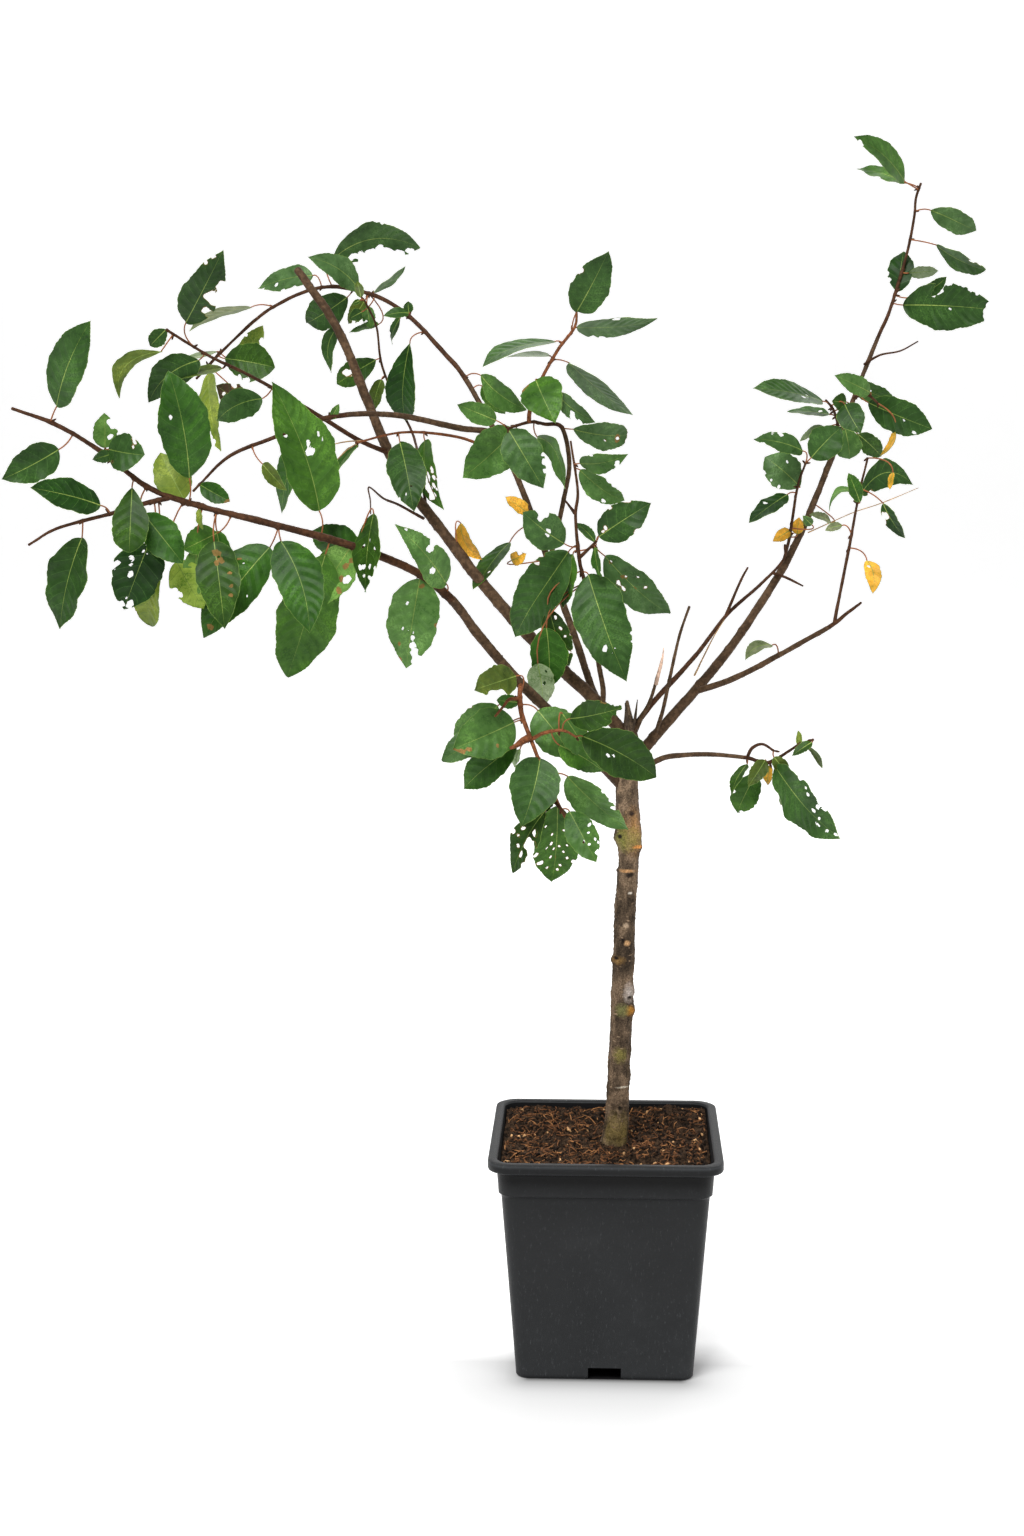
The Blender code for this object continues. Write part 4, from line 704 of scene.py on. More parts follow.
def hanging(faces, total, start):
    """Which faces hang together with a start vertex: the lowest label in each face spreads until nothing changes."""
    label = np.arange(total)
    label[start] = -1
    while True:
        lowest = label[faces].min(axis=1)
        spread = label.copy()
        np.minimum.at(spread, faces.ravel(), np.repeat(lowest, faces.shape[1]))
        if (spread == label).all():
            return lowest == -1
        label = spread


def add_skins(gather, middle, lift, faces, kinds, slots):
    """An upper and an under skin round a middle surface, with walls along its open edges.

    Kinds are 0 upper skin, 1 under skin, 2 midrib, 3 vein, 4 margin and 5 worn rim, and slots give each its material.
    """
    total = len(middle)
    start, end = faces.ravel(), np.roll(faces, -1, axis=1).ravel()
    start, end = start[start != end], end[start != end]
    open_edge = ~np.isin(start * total + end, end * total + start)
    p, q = start[open_edge], end[open_edge]
    walls = np.stack([q, p, p + total, q + total], axis=-1)
    triangle = faces[:, 2] == faces[:, 3]
    lower = np.where(triangle[:, None], faces[:, [2, 1, 0, 0]], faces[:, ::-1]) + total
    used, flat = np.unique(np.concatenate([faces, lower, walls]), return_inverse=True)
    points = np.concatenate([middle + lift, middle - lift])[used]
    marks = slots[np.concatenate([kinds, np.where(kinds == 2, 2, 1), np.full(len(walls), 4)])]
    gather.add(points, flat.reshape(-1, 4), marks)


def add_blade(gather, lie, blade, width, widest, wear, slots, rng):
    """One blade: rows that follow its side veins, cut open where it is worn, with an upper and an under skin.

    A point on row r and column share a lies at s = r + 0.75 a^1.25 r (1-r) along the blade, so that the rows sweep
    forward as the veins do, and across it at the midrib's half width plus a times the rest of the half width.
    """
    veins = int(np.clip(round(blade / VEIN_SPACING), 4, 9))
    row_share, left, right = blade_rows(veins)
    rows = len(row_share)
    columns = 9 if wear != "whole" else 5
    across_share = np.linspace(0, 1, columns + 1)
    share = row_share[:, None] + VEIN_SWEEP * across_share ** 1.25 * (row_share * (1 - row_share))[:, None]
    sides = []
    for sign in (-1, 1):
        phase = rng.uniform(0, 2 * np.pi, 2)
        wavy = 1 + 0.035 * np.sin(2 * np.pi * 2.3 * share + phase[0]) + 0.022 * np.sin(2 * np.pi * 6.1 * share + phase[1])
        half = np.maximum(width / 2 * shape_share(share, widest) * wavy, 0.3)
        rib = np.minimum(RIB_HALF * (1.05 - share), 0.35 * half)
        inner = half - np.minimum(MARGIN_WIDTH, 0.2 * half)
        offset = rib + (inner - rib) * across_share
        tooth = TEETH[np.arange(rows) % len(TEETH)] * TOOTH * rng.uniform(0.2, 1.5, rows)
        tooth *= np.clip(half[:, -1] / (0.25 * width), 0, 1)
        offset[:, -1] += tooth
        offset = np.column_stack([offset, np.maximum(half[:, -1] + tooth, offset[:, -1] + 0.03)])
        along = np.column_stack([share, share[:, -1]])
        sides.append((along, sign * offset, sign * np.append(across_share, 1.0) * np.ones((rows, 1))))
    x, y, v = (np.concatenate([a[:, ::-1], b], axis=1) for a, b in zip(*sides))
    x = x * blade
    wide = 2 * (columns + 2)
    cell_row, cell_column = np.meshgrid(np.arange(rows - 1), np.arange(wide - 1), indexing="ij")
    kinds = np.zeros(cell_row.shape, int)
    kinds[np.isin(cell_row, left) & (cell_column < columns + 1) & (cell_column > 1)] = 3
    kinds[np.isin(cell_row, right) & (cell_column > columns + 1) & (cell_column < wide - 3)] = 3
    kinds[:, columns + 1] = 2
    kinds[:, [0, -1]] = 4
    faces = grid_faces(rows, wide)
    step = VEINED / veins
    phase = (row_share - VEIN_START) / step
    phase = np.where(v < 0, phase[:, None], phase[:, None] - 0.5)
    quilt = (np.cos(2 * np.pi * phase) - 1) * np.sin(np.pi * np.clip(np.abs(v), 0, 1)) ** 0.7
    quilt *= np.clip(row_share / 0.15, 0, 1)[:, None] * np.clip((1 - row_share) / 0.15, 0, 1)[:, None]
    x, y, v, quilt, kinds = x.ravel(), y.ravel(), v.ravel(), quilt.ravel(), kinds.ravel()
    depth = np.full(len(x), 1e3)
    spots = np.full(len(x), 1e3)
    browned = rng.random() < BROWN_RIMS
    for mark_share, mark_side, radius in wear_marks(wear, width, rng):
        centre = mark_share * blade, mark_side * width / 2 * shape_share(min(mark_share, 0.97), widest)
        away_x, away_y = x - centre[0], y - centre[1]
        if abs(radius) < SMALL_MARK:
            nearest = np.hypot(away_x, away_y).argmin()
            away_x, away_y = x - x[nearest], y - y[nearest]
        angle = np.arctan2(away_y, away_x)
        lobes = 1 + 0.20 * np.sin(2 * angle + rng.uniform(0, 6.28)) + 0.12 * np.sin(5 * angle + rng.uniform(0, 6.28))
        gap = np.hypot(away_x, away_y) - abs(radius) * lobes
        if radius < 0:
            spots = np.minimum(spots, gap)
            continue
        if mark_share < 0.9:
            gap = np.where(np.abs(v) < 0.01, np.maximum(gap, 0.4), gap)
        depth = np.minimum(depth, gap)
    if browned:
        spots = np.minimum(spots, depth - RIM_WIDTH)
    if (spots <= 0).any():
        ends, at, faces, kinds = painted(faces, kinds, spots, 5)
        x, y, v, quilt, depth = (np.concatenate([g, g[ends[:, 0]] + (g[ends[:, 1]] - g[ends[:, 0]]) * at])
                                 for g in (x, y, v, quilt, depth))
    if (depth <= 0).any():
        ends, at, faces, kinds = cut_open(faces, kinds, depth)
        x, y, v, quilt = (np.concatenate([g, g[ends[:, 0]] + (g[ends[:, 1]] - g[ends[:, 0]]) * at])
                          for g in (x, y, v, quilt))
        kept = hanging(faces, len(x), columns + 1)
        faces, kinds = faces[kept], kinds[kept]
    middle, lift = lie(x, y, v, quilt)
    add_skins(gather, middle, lift, faces, kinds, slots)


# Materials

def linear(red, green, blue):
    """A colour read as 0 to 255 on a screen, as the light it stands for."""
    values = np.array([red, green, blue]) / 255
    return tuple(float(x) for x in np.where(values <= 0.04045, values / 12.92, ((values + 0.055) / 1.055) ** 2.4))


def new_material(name, roughness, specular=0.5):
    """A material with its Principled shader, and a function that adds linked nodes to it."""
    material = bpy.data.materials.new(name)
    material.use_nodes = True
    tree = material.node_tree
    shader = tree.nodes["Principled BSDF"]
    shader.inputs["Roughness"].default_value = roughness
    shader.inputs["Specular IOR Level"].default_value = specular

    def add(kind, settings=None, numbered=None, **inputs):
        node = tree.nodes.new(kind)
        for key, value in (settings or {}).items():
            setattr(node, key, value)
        for key, value in (*inputs.items(), *(numbered or {}).items()):
            socket = node.inputs[key.replace("_", " ") if isinstance(key, str) else key]
            if isinstance(value, bpy.types.NodeSocket):
                tree.links.new(value, socket)
            else:
                socket.default_value = value
        return node

    def link(source, target):
        tree.links.new(source, shader.inputs[target])

    return material, add, link


def object_noise(add, scale, detail=3.0, stretch=(1, 1, 1), rough=0.5):
    """Noise on Object coordinates, with its scale in cells a metre and a stretch for each axis."""
    place_at = add("ShaderNodeTexCoord").outputs["Object"]
    mapping = add("ShaderNodeMapping", Vector=place_at, Scale=stretch)
    return add("ShaderNodeTexNoise", Vector=mapping.outputs["Vector"], Scale=scale, Detail=detail,
               Roughness=rough).outputs["Fac"]


def ramp(add, factor, *stops):
    """A colour ramp: rows of place and colour."""
    node = add("ShaderNodeValToRGB", Fac=factor)
    elements = node.color_ramp.elements
    while len(elements) < len(stops):
        elements.new(0.5)
    for element, (at, colour) in zip(elements, stops):
        element.position = at
        element.color = (*colour, 1)
    return node.outputs["Color"]


def bump(add, link, height, strength, distance):
    """A bump of a depth in metres."""
    node = add("ShaderNodeBump", Height=height, Strength=strength, Distance=distance)
    link(node.outputs["Normal"], "Normal")


def shade(colour, factor):
    """A colour made lighter or darker."""
    return tuple(np.clip(np.array(colour) * factor, 0, 1))


def mix(add, factor, first, second, blend="MIX"):
    """Two colours mixed by a factor; a plain colour is a row of three."""
    first, second = (value if isinstance(value, bpy.types.NodeSocket) else (*value, 1) for value in (first, second))
    settings = {"data_type": "RGBA", "blend_type": blend}
    return add("ShaderNodeMix", settings, {0: factor, 6: first, 7: second}).outputs[2]


def maths(add, operation, *values):
    """One sum on values."""
    return add("ShaderNodeMath", {"operation": operation}, dict(enumerate(values))).outputs[0]


def total(add, first, second, weight=1.0):
    """The first value plus the second times a weight."""
    return add("ShaderNodeMath", {"operation": "MULTIPLY_ADD"}, {0: second, 1: weight, 2: first}).outputs[0]


def between(add, value, low, high):
    """0 where a value is at or below low, 1 at or above high, and even between."""
    return add("ShaderNodeMapRange", Value=value, From_Min=low, From_Max=high).outputs["Result"]


def patch(add, colour, over, centre, size, rough=0.9):
    """A colour laid over another round a place, in metres: a ball stretched to a size, its rim broken by noise."""
    place_at = add("ShaderNodeTexCoord").outputs["Object"]
    mapping = add("ShaderNodeMapping", {"vector_type": "TEXTURE"}, Vector=place_at, Location=centre, Scale=size)
    ball = add("ShaderNodeTexGradient", {"gradient_type": "SPHERICAL"}, Vector=mapping.outputs["Vector"])
    broken = total(add, ball.outputs["Fac"], object_noise(add, 300, 5.0, rough=0.7), rough)
    soft = 0.12 + 0.26 * rough
    return mix(add, between(add, broken, 0.5 * rough + 0.5 - soft, 0.5 * rough + 0.5 + soft), over, colour)


# Painted shade and painted sheen: the darker and lighter stops of every leaf skin's clouds, as factors on its tint
LEAF_PAINTED_SHADE = (0.38, 0.50, 0.30)
LEAF_PAINTED_SHEEN = (2.0, 1.75, 2.0)


def leaf_skin(name, colour, roughness=0.5):
    """Leaf skin: broad clouds and finer mottling of its tint, partly its own colour and partly painted shade and
    painted sheen, a fine grain and a dull wax gloss.
    """
    material, add, link = new_material(name, roughness, 0.16)
    mottle_shade_and_sheen = total(add, object_noise(add, 30, 3.0, rough=0.6), object_noise(add, 170, 2.0), 0.35)
    tone = ramp(add, mottle_shade_and_sheen, (0.52, shade(colour, LEAF_PAINTED_SHADE)), (0.67, colour), (0.84, shade(colour, LEAF_PAINTED_SHEEN)))
    grain = object_noise(add, 620, 3.0, rough=0.65)
    link(mix(add, between(add, grain, 0.42, 0.62), tone, shade(colour, 0.86)), "Base Color")
    bump(add, link, grain, 0.22, 0.0003)
    return material


def bark(name, middle, scale, stretch, roughness=0.8, grain=0.75, patches=()):
    """Bark: streaks along the limb, broad blotches, patches of other colours, a fine speckle and pale pores."""
    material, add, link = new_material(name, roughness, 0.12)
    streaks = object_noise(add, scale, 5.0, stretch, 0.62)
    blotches = object_noise(add, scale * 0.3, 3.0)
    spread = 0.17 if grain > 0.5 else 0.11
    tone = ramp(add, total(add, streaks, blotches, 0.8), (0.90 - spread, shade(middle, 0.42)), (0.90, middle),
                (0.90 + spread, shade(middle, 1.9)))
    for x, z, wide, high, colour in patches:
        size = (wide * MM * 1.7, 9 * MM, high * MM * 1.7)
        tone = patch(add, linear(*colour), tone, (x * MM, -9 * MM, z * MM), size, 0.9 if min(wide, high) > 3.5 else 0.3)
    speckle = object_noise(add, 700, 3.0, rough=0.7)
    grey = ramp(add, speckle, (0.34, (0.16,) * 3), (0.5, (0.5,) * 3), (0.66, (0.9,) * 3))
    tone = mix(add, grain, tone, grey, "OVERLAY")
    pores = object_noise(add, 340, 2.0, (0.5, 0.5, 1.5), 0.5)
    tone = mix(add, between(add, pores, 0.66, 0.74), tone, shade(middle, 3.2))
    return material, add, link, tone, total(add, streaks, speckle, 0.7)


TINTS = {
    "green1": (20, 50, 7), "green2": (33, 61, 18), "green3": (35, 63, 10), "green4": (38, 74, 15),
    "green5": (43, 73, 27), "green6": (50, 79, 35), "green7": (50, 86, 20), "green8": (64, 79, 23),
    "green9": (59, 93, 36), "green10": (63, 92, 48), "green11": (71, 106, 48), "green12": (93, 101, 70),
    "green13": (98, 115, 38), "green14": (84, 121, 51), "green15": (117, 132, 98), "green16": (136, 158, 60),
    "green17": (159, 177, 138), "yellow": (200, 146, 44), "orange": (226, 172, 66), "brown": (60, 44, 26),
}


# Settings that a user would change

class MirabelleSettings(bpy.types.PropertyGroup):
    """Sizes and colours of the tree's finishes."""

    bark_colour: bpy.props.FloatVectorProperty(
        name="Trunk bark", description="Middle colour of the trunk's bark", subtype="COLOR", size=3,
        default=linear(80, 66, 52), min=0, max=1)
    shoot_colour: bpy.props.FloatVectorProperty(
        name="Bough bark", description="Middle colour of the boughs' young bark", subtype="COLOR", size=3,
        default=linear(70, 53, 38), min=0, max=1)
    twig_colour: bpy.props.FloatVectorProperty(
        name="Young shoots", description="Colour of this year's reddish shoots", subtype="COLOR", size=3,
        default=linear(60, 38, 24), min=0, max=1)
    stalk_colour: bpy.props.FloatVectorProperty(
        name="Leaf stalks", description="Colour of the leaf stalks", subtype="COLOR", size=3,
        default=linear(128, 78, 46), min=0, max=1)
    rib_colour: bpy.props.FloatVectorProperty(
        name="Midribs", description="Colour of the leaves' midribs", subtype="COLOR", size=3,
        default=linear(112, 132, 62), min=0, max=1)
    vein_colour: bpy.props.FloatVectorProperty(
        name="Side veins", description="Colour of the leaves' side veins", subtype="COLOR", size=3,
        default=linear(62, 94, 42), min=0, max=1)
    margin_colour: bpy.props.FloatVectorProperty(
        name="Leaf margins", description="Colour of the leaves' thin pale margins", subtype="COLOR", size=3,
        default=linear(96, 122, 52), min=0, max=1)
    worn_colour: bpy.props.FloatVectorProperty(
        name="Worn rims", description="Colour of the dry rims of holes and tears", subtype="COLOR", size=3,
        default=linear(112, 88, 46), min=0, max=1)
    under_colour: bpy.props.FloatVectorProperty(
        name="Leaf underside", description="Colour of the leaves' undersides", subtype="COLOR", size=3,
        default=linear(120, 148, 110), min=0, max=1)
    pot_colour: bpy.props.FloatVectorProperty(
        name="Pot", description="Colour of the moulded pot", subtype="COLOR", size=3,
        default=linear(30, 31, 32), min=0, max=1)
    compost_colour: bpy.props.FloatVectorProperty(
        name="Compost", description="Middle colour of the damp compost", subtype="COLOR", size=3,
        default=linear(40, 29, 20), min=0, max=1)
    relief: bpy.props.FloatProperty(
        name="Bark relief", description="Depth of the trunk's ridges", unit="LENGTH", default=0.0004, min=0, max=0.003)
    chips: bpy.props.IntProperty(
        name="Bark chips", description="Loose chips and fibres on the compost", default=1500, min=0, max=4000)


def settings():
    """The scene's settings."""
    return bpy.context.scene.mirabelle


# Pieces

def rounded_square_rows(rings):
    """Rings of a square with round corners: straight runs between corner arcs, the same count on each ring."""
    quarter = np.concatenate([np.linspace(0, 1, CORNER_STEPS + 1)])
    rows = []
    for height, half, radius in rings:
        centre = half - radius
        points = []
        for turn, (sx, sy) in enumerate(((1, 1), (-1, 1), (-1, -1), (1, -1))):
            angle = np.pi / 2 * (turn + quarter)
            arc = np.stack([sx * centre + radius * np.cos(angle), sy * centre + radius * np.sin(angle)], axis=-1)
            after = np.array([[1, 1], [-1, 1], [-1, -1], [1, -1]][(turn + 1) % 4]) * centre
            next_start = after + radius * np.array([np.cos(angle[-1]), np.sin(angle[-1])])
            run = arc[-1] + (next_start - arc[-1]) * (np.arange(1, SIDE_STEPS) / SIDE_STEPS)[:, None]
            points += [arc, run]
        ring = np.vstack(points)
        rows.append(np.column_stack([ring, np.full(len(ring), height)]))
    return np.array(rows)


def make_pot():
    """The pot: rounded squares lofted up the outside, over the lip and down the inside, with a floor each way."""
    rows = rounded_square_rows(POT_RINGS)
    count, corners = rows.shape[:2]
    gather = Gather()
    faces = grid_faces(count, corners, closed_across=True)
    total = count * corners
    ring = np.arange(corners)
    after = (ring + 1) % corners
    floor_under = np.stack([np.full(corners, total), after, ring, ring], axis=-1)
    top = total - corners
    floor_inside = np.stack([np.full(corners, total + 1), top + ring, top + after, top + after], axis=-1)
    poles = [[0, 0, POT_RINGS[0][0]], [0, 0, POT_RINGS[-1][0]]]
    gather.add(np.vstack([rows.reshape(-1, 3), poles]), np.vstack([faces, floor_under, floor_inside]))
    pot = gather.build("pot_shell", [pot_plastic()])
    cutters = []
    for side in range(4):
        angle = math.pi / 2 * side
        bpy.ops.mesh.primitive_cube_add(size=1)
        box = bpy.context.object
        box.dimensions = (NOTCH_WIDTH * MM, 2 * NOTCH_DEPTH * MM, (NOTCH_HEIGHT - NOTCH_FOOT) * MM)
        box.rotation_euler = (0, 0, angle)
        reach = POT_RINGS[2][1] * MM
        box.location = (reach * math.sin(angle), -reach * math.cos(angle), (NOTCH_HEIGHT + NOTCH_FOOT) / 2 * MM)
        cut = pot.modifiers.new("notch", "BOOLEAN")
        cut.operation = "DIFFERENCE"
        cut.object = box
        cutters.append(box)
    evaluated = pot.evaluated_get(bpy.context.evaluated_depsgraph_get())
    mesh = bpy.data.meshes.new_from_object(evaluated)
    pot.modifiers.clear()
    pot.data = mesh
    for box in cutters:
        bpy.data.objects.remove(box)
    mesh.shade_smooth()
    mesh.set_sharp_from_angle(angle=math.radians(38))
    # Painted shade: a near-black material laid on the inner wall, the inner floor and the faces of the drain notches
    shadowed, add, link = new_material("pot_inside_painted_shade", 0.8, 0.1)
    link(mix(add, object_noise(add, 30), linear(13, 13, 14), linear(20, 20, 21)), "Base Color")
    mesh.materials.append(shadowed)
    middles, normals = np.empty((2, 3 * len(mesh.polygons)))
    mesh.polygons.foreach_get("center", middles)
    mesh.polygons.foreach_get("normal", normals)
    middles, normals = middles.reshape(-1, 3), normals.reshape(-1, 3)
    inwards = (middles * normals)[:, :2].sum(axis=1) < 0
    x, y, z = np.abs(middles.T) / MM
    inside = inwards & (z < POT_RINGS[-6][0]) & (z > POT_RINGS[-2][0])
    notched = (z > NOTCH_FOOT - 0.1) & (z < NOTCH_HEIGHT + 0.1) & (np.minimum(x, y) < NOTCH_WIDTH / 2 + 0.1)
    notched &= np.maximum(x, y) < POT_RINGS[2][1] - 0.4
    mesh.polygons.foreach_set("material_index", (inside | notched).astype(np.int32))
    place(pot, "pot", "pot")


POT_HEIGHT = 223.5
POT_PAINTED_LIGHT = (                 # painted light at shares of the pot's height, as shares of the brightest: stronger towards the foot, a painted shadow in the band under the lip, painted highlights on the lip's edges
    (0, 0.77), (0.05, 0.7), (0.12, 0.57), (0.26, 0.47), (0.45, 0.41), (0.68, 0.35), (0.8, 0.28), (0.85, 0.3),
    (0.88, 0.22), (0.915, 0.05), (0.95, 0.05), (0.957, 0.45), (0.965, 0.15), (0.98, 0.2), (0.993, 0.9), (1, 0.2))
BRIGHTEST = 3.0


def pot_plastic():
    """Matt charcoal plastic: a fine moulded grain, faint dusty clouding, light scuffs, and painted shade and painted
    highlights by height.
    """
    colour = shade(settings().pot_colour, BRIGHTEST)
    material, add, link = new_material("pot_plastic", 0.42, 0.12)
    cloud = object_noise(add, 14, 5.0, rough=0.65)
    tone = ramp(add, cloud, (0.35, shade(colour, 0.85)), (0.6, colour), (0.8, shade(colour, 1.35)))
    scuffs = object_noise(add, 500, 4.0, (1, 1, 0.3), 0.75)
    tone = mix(add, between(add, scuffs, 0.58, 0.72), tone, shade(colour, 2.1))
    height = add("ShaderNodeSeparateXYZ", Vector=add("ShaderNodeTexCoord").outputs["Object"]).outputs["Z"]
    # Painted shade and painted highlights by height multiply the plastic's tone
    painted_light_by_height = ramp(add, between(add, height, 0, POT_HEIGHT * MM), *((at, (value,) * 3) for at, value in POT_PAINTED_LIGHT))
    link(mix(add, 1.0, tone, painted_light_by_height, "MULTIPLY"), "Base Color")
    bump(add, link, object_noise(add, 1400, 2.0), 0.5, 0.0004)
    return material


def compost_height(x, y):
    """Height of the compost's top: low waves and sharp crumbs, each the square of a noise, below its highest level."""
    rng = np.random.default_rng(11)
    broad = waves(rng, 10, 0.008, 0.03, x, y)
    crumbs = waves(rng, 30, 0.06, 0.20, x, y)
    grit = waves(rng, 30, 0.20, 0.36, x, y)
    heap = 8.0 * np.clip((y + 60) / 150, 0, 1) + 1.2 * np.clip((np.abs(x) - 50) / 50, 0, 1)
    clumps = np.clip(np.abs(crumbs), 0, 1.6) - 0.8 * np.clip(-broad - 0.4, 0, 1)
    return COMPOST_TOP - 3.2 + heap + 1.0 * broad + 1.3 * clumps + 0.6 * grit


def make_compost():
    """The compost: a square disc, its top the height field, with a wall down to its foot, and loose bits on it."""
    steps = 170
    line = np.linspace(-1, 1, steps)
    x, y = np.meshgrid(line * COMPOST_HALF, line * COMPOST_HALF, indexing="ij")
    centre = COMPOST_HALF - COMPOST_CORNER
    over_x, over_y = np.abs(x) - centre, np.abs(y) - centre
    corner = (over_x > 0) & (over_y > 0)
    length = np.hypot(over_x, over_y)
    reach = np.maximum(over_x, over_y)
    pull = np.where(corner, reach / np.maximum(length, 1e-6), 1)
    x = np.where(corner, np.sign(x) * (centre + over_x * pull), x)
    y = np.where(corner, np.sign(y) * (centre + over_y * pull), y)
    z = compost_height(x, y)
    gather = Gather()
    top = np.stack([x, y, z], axis=-1).reshape(-1, 3)
    number = np.arange(steps * steps).reshape(steps, steps)
    edge = np.concatenate([number[0, :-1], number[:-1, -1], number[-1, :0:-1], number[:0:-1, 0]])
    taper = (COMPOST_TOP - COMPOST_FOOT) * 0.078
    foot = top[edge] * np.array([1, 1, 0]) * (1 - taper / COMPOST_HALF) + [0, 0, COMPOST_FOOT]
    count = len(top)
    ring = np.arange(len(edge))
    after = (ring + 1) % len(edge)
    wall = np.stack([edge[ring], edge[after], count + after, count + ring], axis=-1)[:, ::-1]
    base = np.stack([np.full(len(edge), count + len(edge)), count + ring, count + after, count + after], axis=-1)
    faces = grid_faces(steps, steps)
    gather.add(np.vstack([top, foot, [[0, 0, COMPOST_FOOT]]]), np.vstack([faces, wall, base]))
    soil = gather.build("compost_bed", [compost_soil()])
    fix_outwards(soil)
    place(soil, "compost", "compost")
    make_chips()


def fix_outwards(piece):
    """Faces of a closed piece turned to point outwards."""
    shape = bmesh.new()
    shape.from_mesh(piece.data)
    bmesh.ops.recalc_face_normals(shape, faces=shape.faces)
    shape.to_mesh(piece.data)
    shape.free()


def compost_soil():
    """Damp bark compost: nearly black between brown crumbs of several shades, with a rough grain."""
    colour = tuple(settings().compost_colour)
    material, add, link = new_material("compost_soil", 0.95, 0.1)
    crumbs = total(add, object_noise(add, 170, 5.0, rough=0.7), object_noise(add, 800, 3.0, rough=0.7), 0.6)
    link(ramp(add, crumbs, (0.66, shade(colour, 0.2)), (0.79, colour), (0.92, shade(colour, 3.4))), "Base Color")
    bump(add, link, crumbs, 0.9, 0.002)
    return material


CHIP_KINDS = (                  # name, colour, share, least and most length, least and most thickness
    ("tan_fibre", (164, 114, 72), 0.12, (5, 34), (0.25, 0.7)),
    ("brown_fibre", (116, 77, 49), 0.26, (4, 24), (0.3, 0.9)),
    ("brown_chip", (98, 65, 42), 0.34, (1.5, 8), (0.5, 1.5)),
    ("dark_chip", (26, 18, 13), 0.25, (2, 9), (0.6, 1.7)),
    ("pale_chip", (206, 160, 112), 0.03, (2.2, 8), (0.7, 1.6)),
)


def make_chips():
    """Loose chips and fibres on the compost: each a slim five-sided splinter along a short arc, tilted and arched."""
    rng = np.random.default_rng(23)
    gather = Gather()
    for _ in range(settings().chips):
        kind = rng.choice(len(CHIP_KINDS), p=[row[2] for row in CHIP_KINDS])
        length, thick = (rng.uniform(*limits) for limits in CHIP_KINDS[kind][3:])
        length *= rng.uniform(0.4, 1)
        x, y = rng.uniform(-97, 97, 2)
        if math.hypot(x - 8, y) < 15:
            continue
        heading, tilt, curve = rng.uniform(0, 2 * math.pi), rng.normal(0, 0.16), rng.normal(0, 0.9)
        line = np.linspace(-0.5, 0.5, 4)
        turn = heading + curve * line * 1.6
        path = np.cumsum(np.column_stack([np.cos(turn), np.sin(turn)]) * length / 3, axis=0) + [x, y]
        path = np.clip(path, -99, 99)
        ground = compost_height(path[:, 0], path[:, 1])
        arch = rng.uniform(0, 0.10) * length * (1 - 4 * line ** 2)
        height = np.minimum(ground + thick * 0.4 + arch + line * length * math.sin(tilt) * 0.5, COMPOST_TOP + 8)
        tube(gather, np.column_stack([path, height]), thick * np.array([0.5, 1, 0.9, 0.4]), 5, kind, cap_rows=1)
    materials = []
    for name, colour, *_ in CHIP_KINDS:
        material, add, link = new_material(name, 0.9, 0.12)
        tone = linear(*colour)
        link(ramp(add, object_noise(add, 260, 3.0), (0.3, shade(tone, 0.4)), (0.7, shade(tone, 1.4))), "Base Color")
        materials.append(material)
    place(gather.build("compost_chips", materials), "compost")


def trunk_diameters(path):
    """The trunk's diameters at its path's points, read between the rows by height."""
    heights = [row[2] for row in TRUNK]
    return np.interp(path[:, 2], heights, [row[3] for row in TRUNK])


def bark_relief(rng, run, corners, girth, depth):
    """Relief on a limb: long ridges that wander round it and finer crossing ripples, as a grid of heights."""
    along, angle = np.meshgrid(run, np.linspace(0, 2 * np.pi, corners, endpoint=False), indexing="ij")
    x, y = girth * np.cos(angle), girth * np.sin(angle)
    ridges = waves(rng, 16, 0.05, 0.22, along * 0.25, x, y)
    ripples = waves(rng, 24, 0.08, 0.4, along, x, y)
    return depth * (ridges + 0.45 * ripples)


def bumps(run, corners, rows):
    """Round swellings on a limb: rows of place along it, bearing round it in degrees, height, length and spread."""
    along, angle = np.meshgrid(run, np.linspace(0, 2 * np.pi, corners, endpoint=False), indexing="ij")
    total = np.zeros(along.shape)
    for at, bearing, height, length, spread in rows:
        away = np.angle(np.exp(1j * (angle - math.radians(bearing))))
        total += height * np.exp(-((along - at) / length) ** 2 - (away / math.radians(spread)) ** 2)
    return total


# Swellings and hollows of the trunk: height, bearing (0 left, 90 back, 180 right, 270 front), rise, length, spread
TRUNK_SWELLINGS = (
    (556, 250, 0.8, 1.6, 80), (551, 260, 0.7, 1.4, 70), (546, 250, 0.6, 1.4, 60), (540, 270, 0.7, 3, 45),
    (521, 350, 2.2, 5.5, 40), (521, 255, 0.9, 5, 60), (514, 230, 1.0, 1.6, 70), (510, 195, 2.4, 2.6, 22),
    (529, 200, 0.8, 14, 40), (488, 270, 0.7, 1.4, 70), (486, 8, 1.8, 1.8, 20), (484, 235, -0.9, 1.5, 18),
    (419, 265, -1.2, 2.2, 14), (416, 240, 0.7, 2.4, 16), (399, 340, 3.2, 4.2, 28), (402, 322, -1.4, 1.3, 14),
    (367, 205, 2.4, 5.5, 30), (361, 222, -1.6, 2.0, 14), (349, 196, 3.2, 6.5, 28), (303, 285, 0.5, 5, 40),
    (271, 270, 0.5, 0.8, 80), (250, 275, -1.6, 1.8, 13), (243, 292, -0.8, 4, 10), (232, 20, 0.8, 9, 40),
    (228, 160, 0.9, 8, 40), (225, 270, 0.6, 8, 60), (560, 90, 0.9, 6, 80), (430, 100, 1.4, 5, 30), (318, 60, 1.2, 6, 34),
)

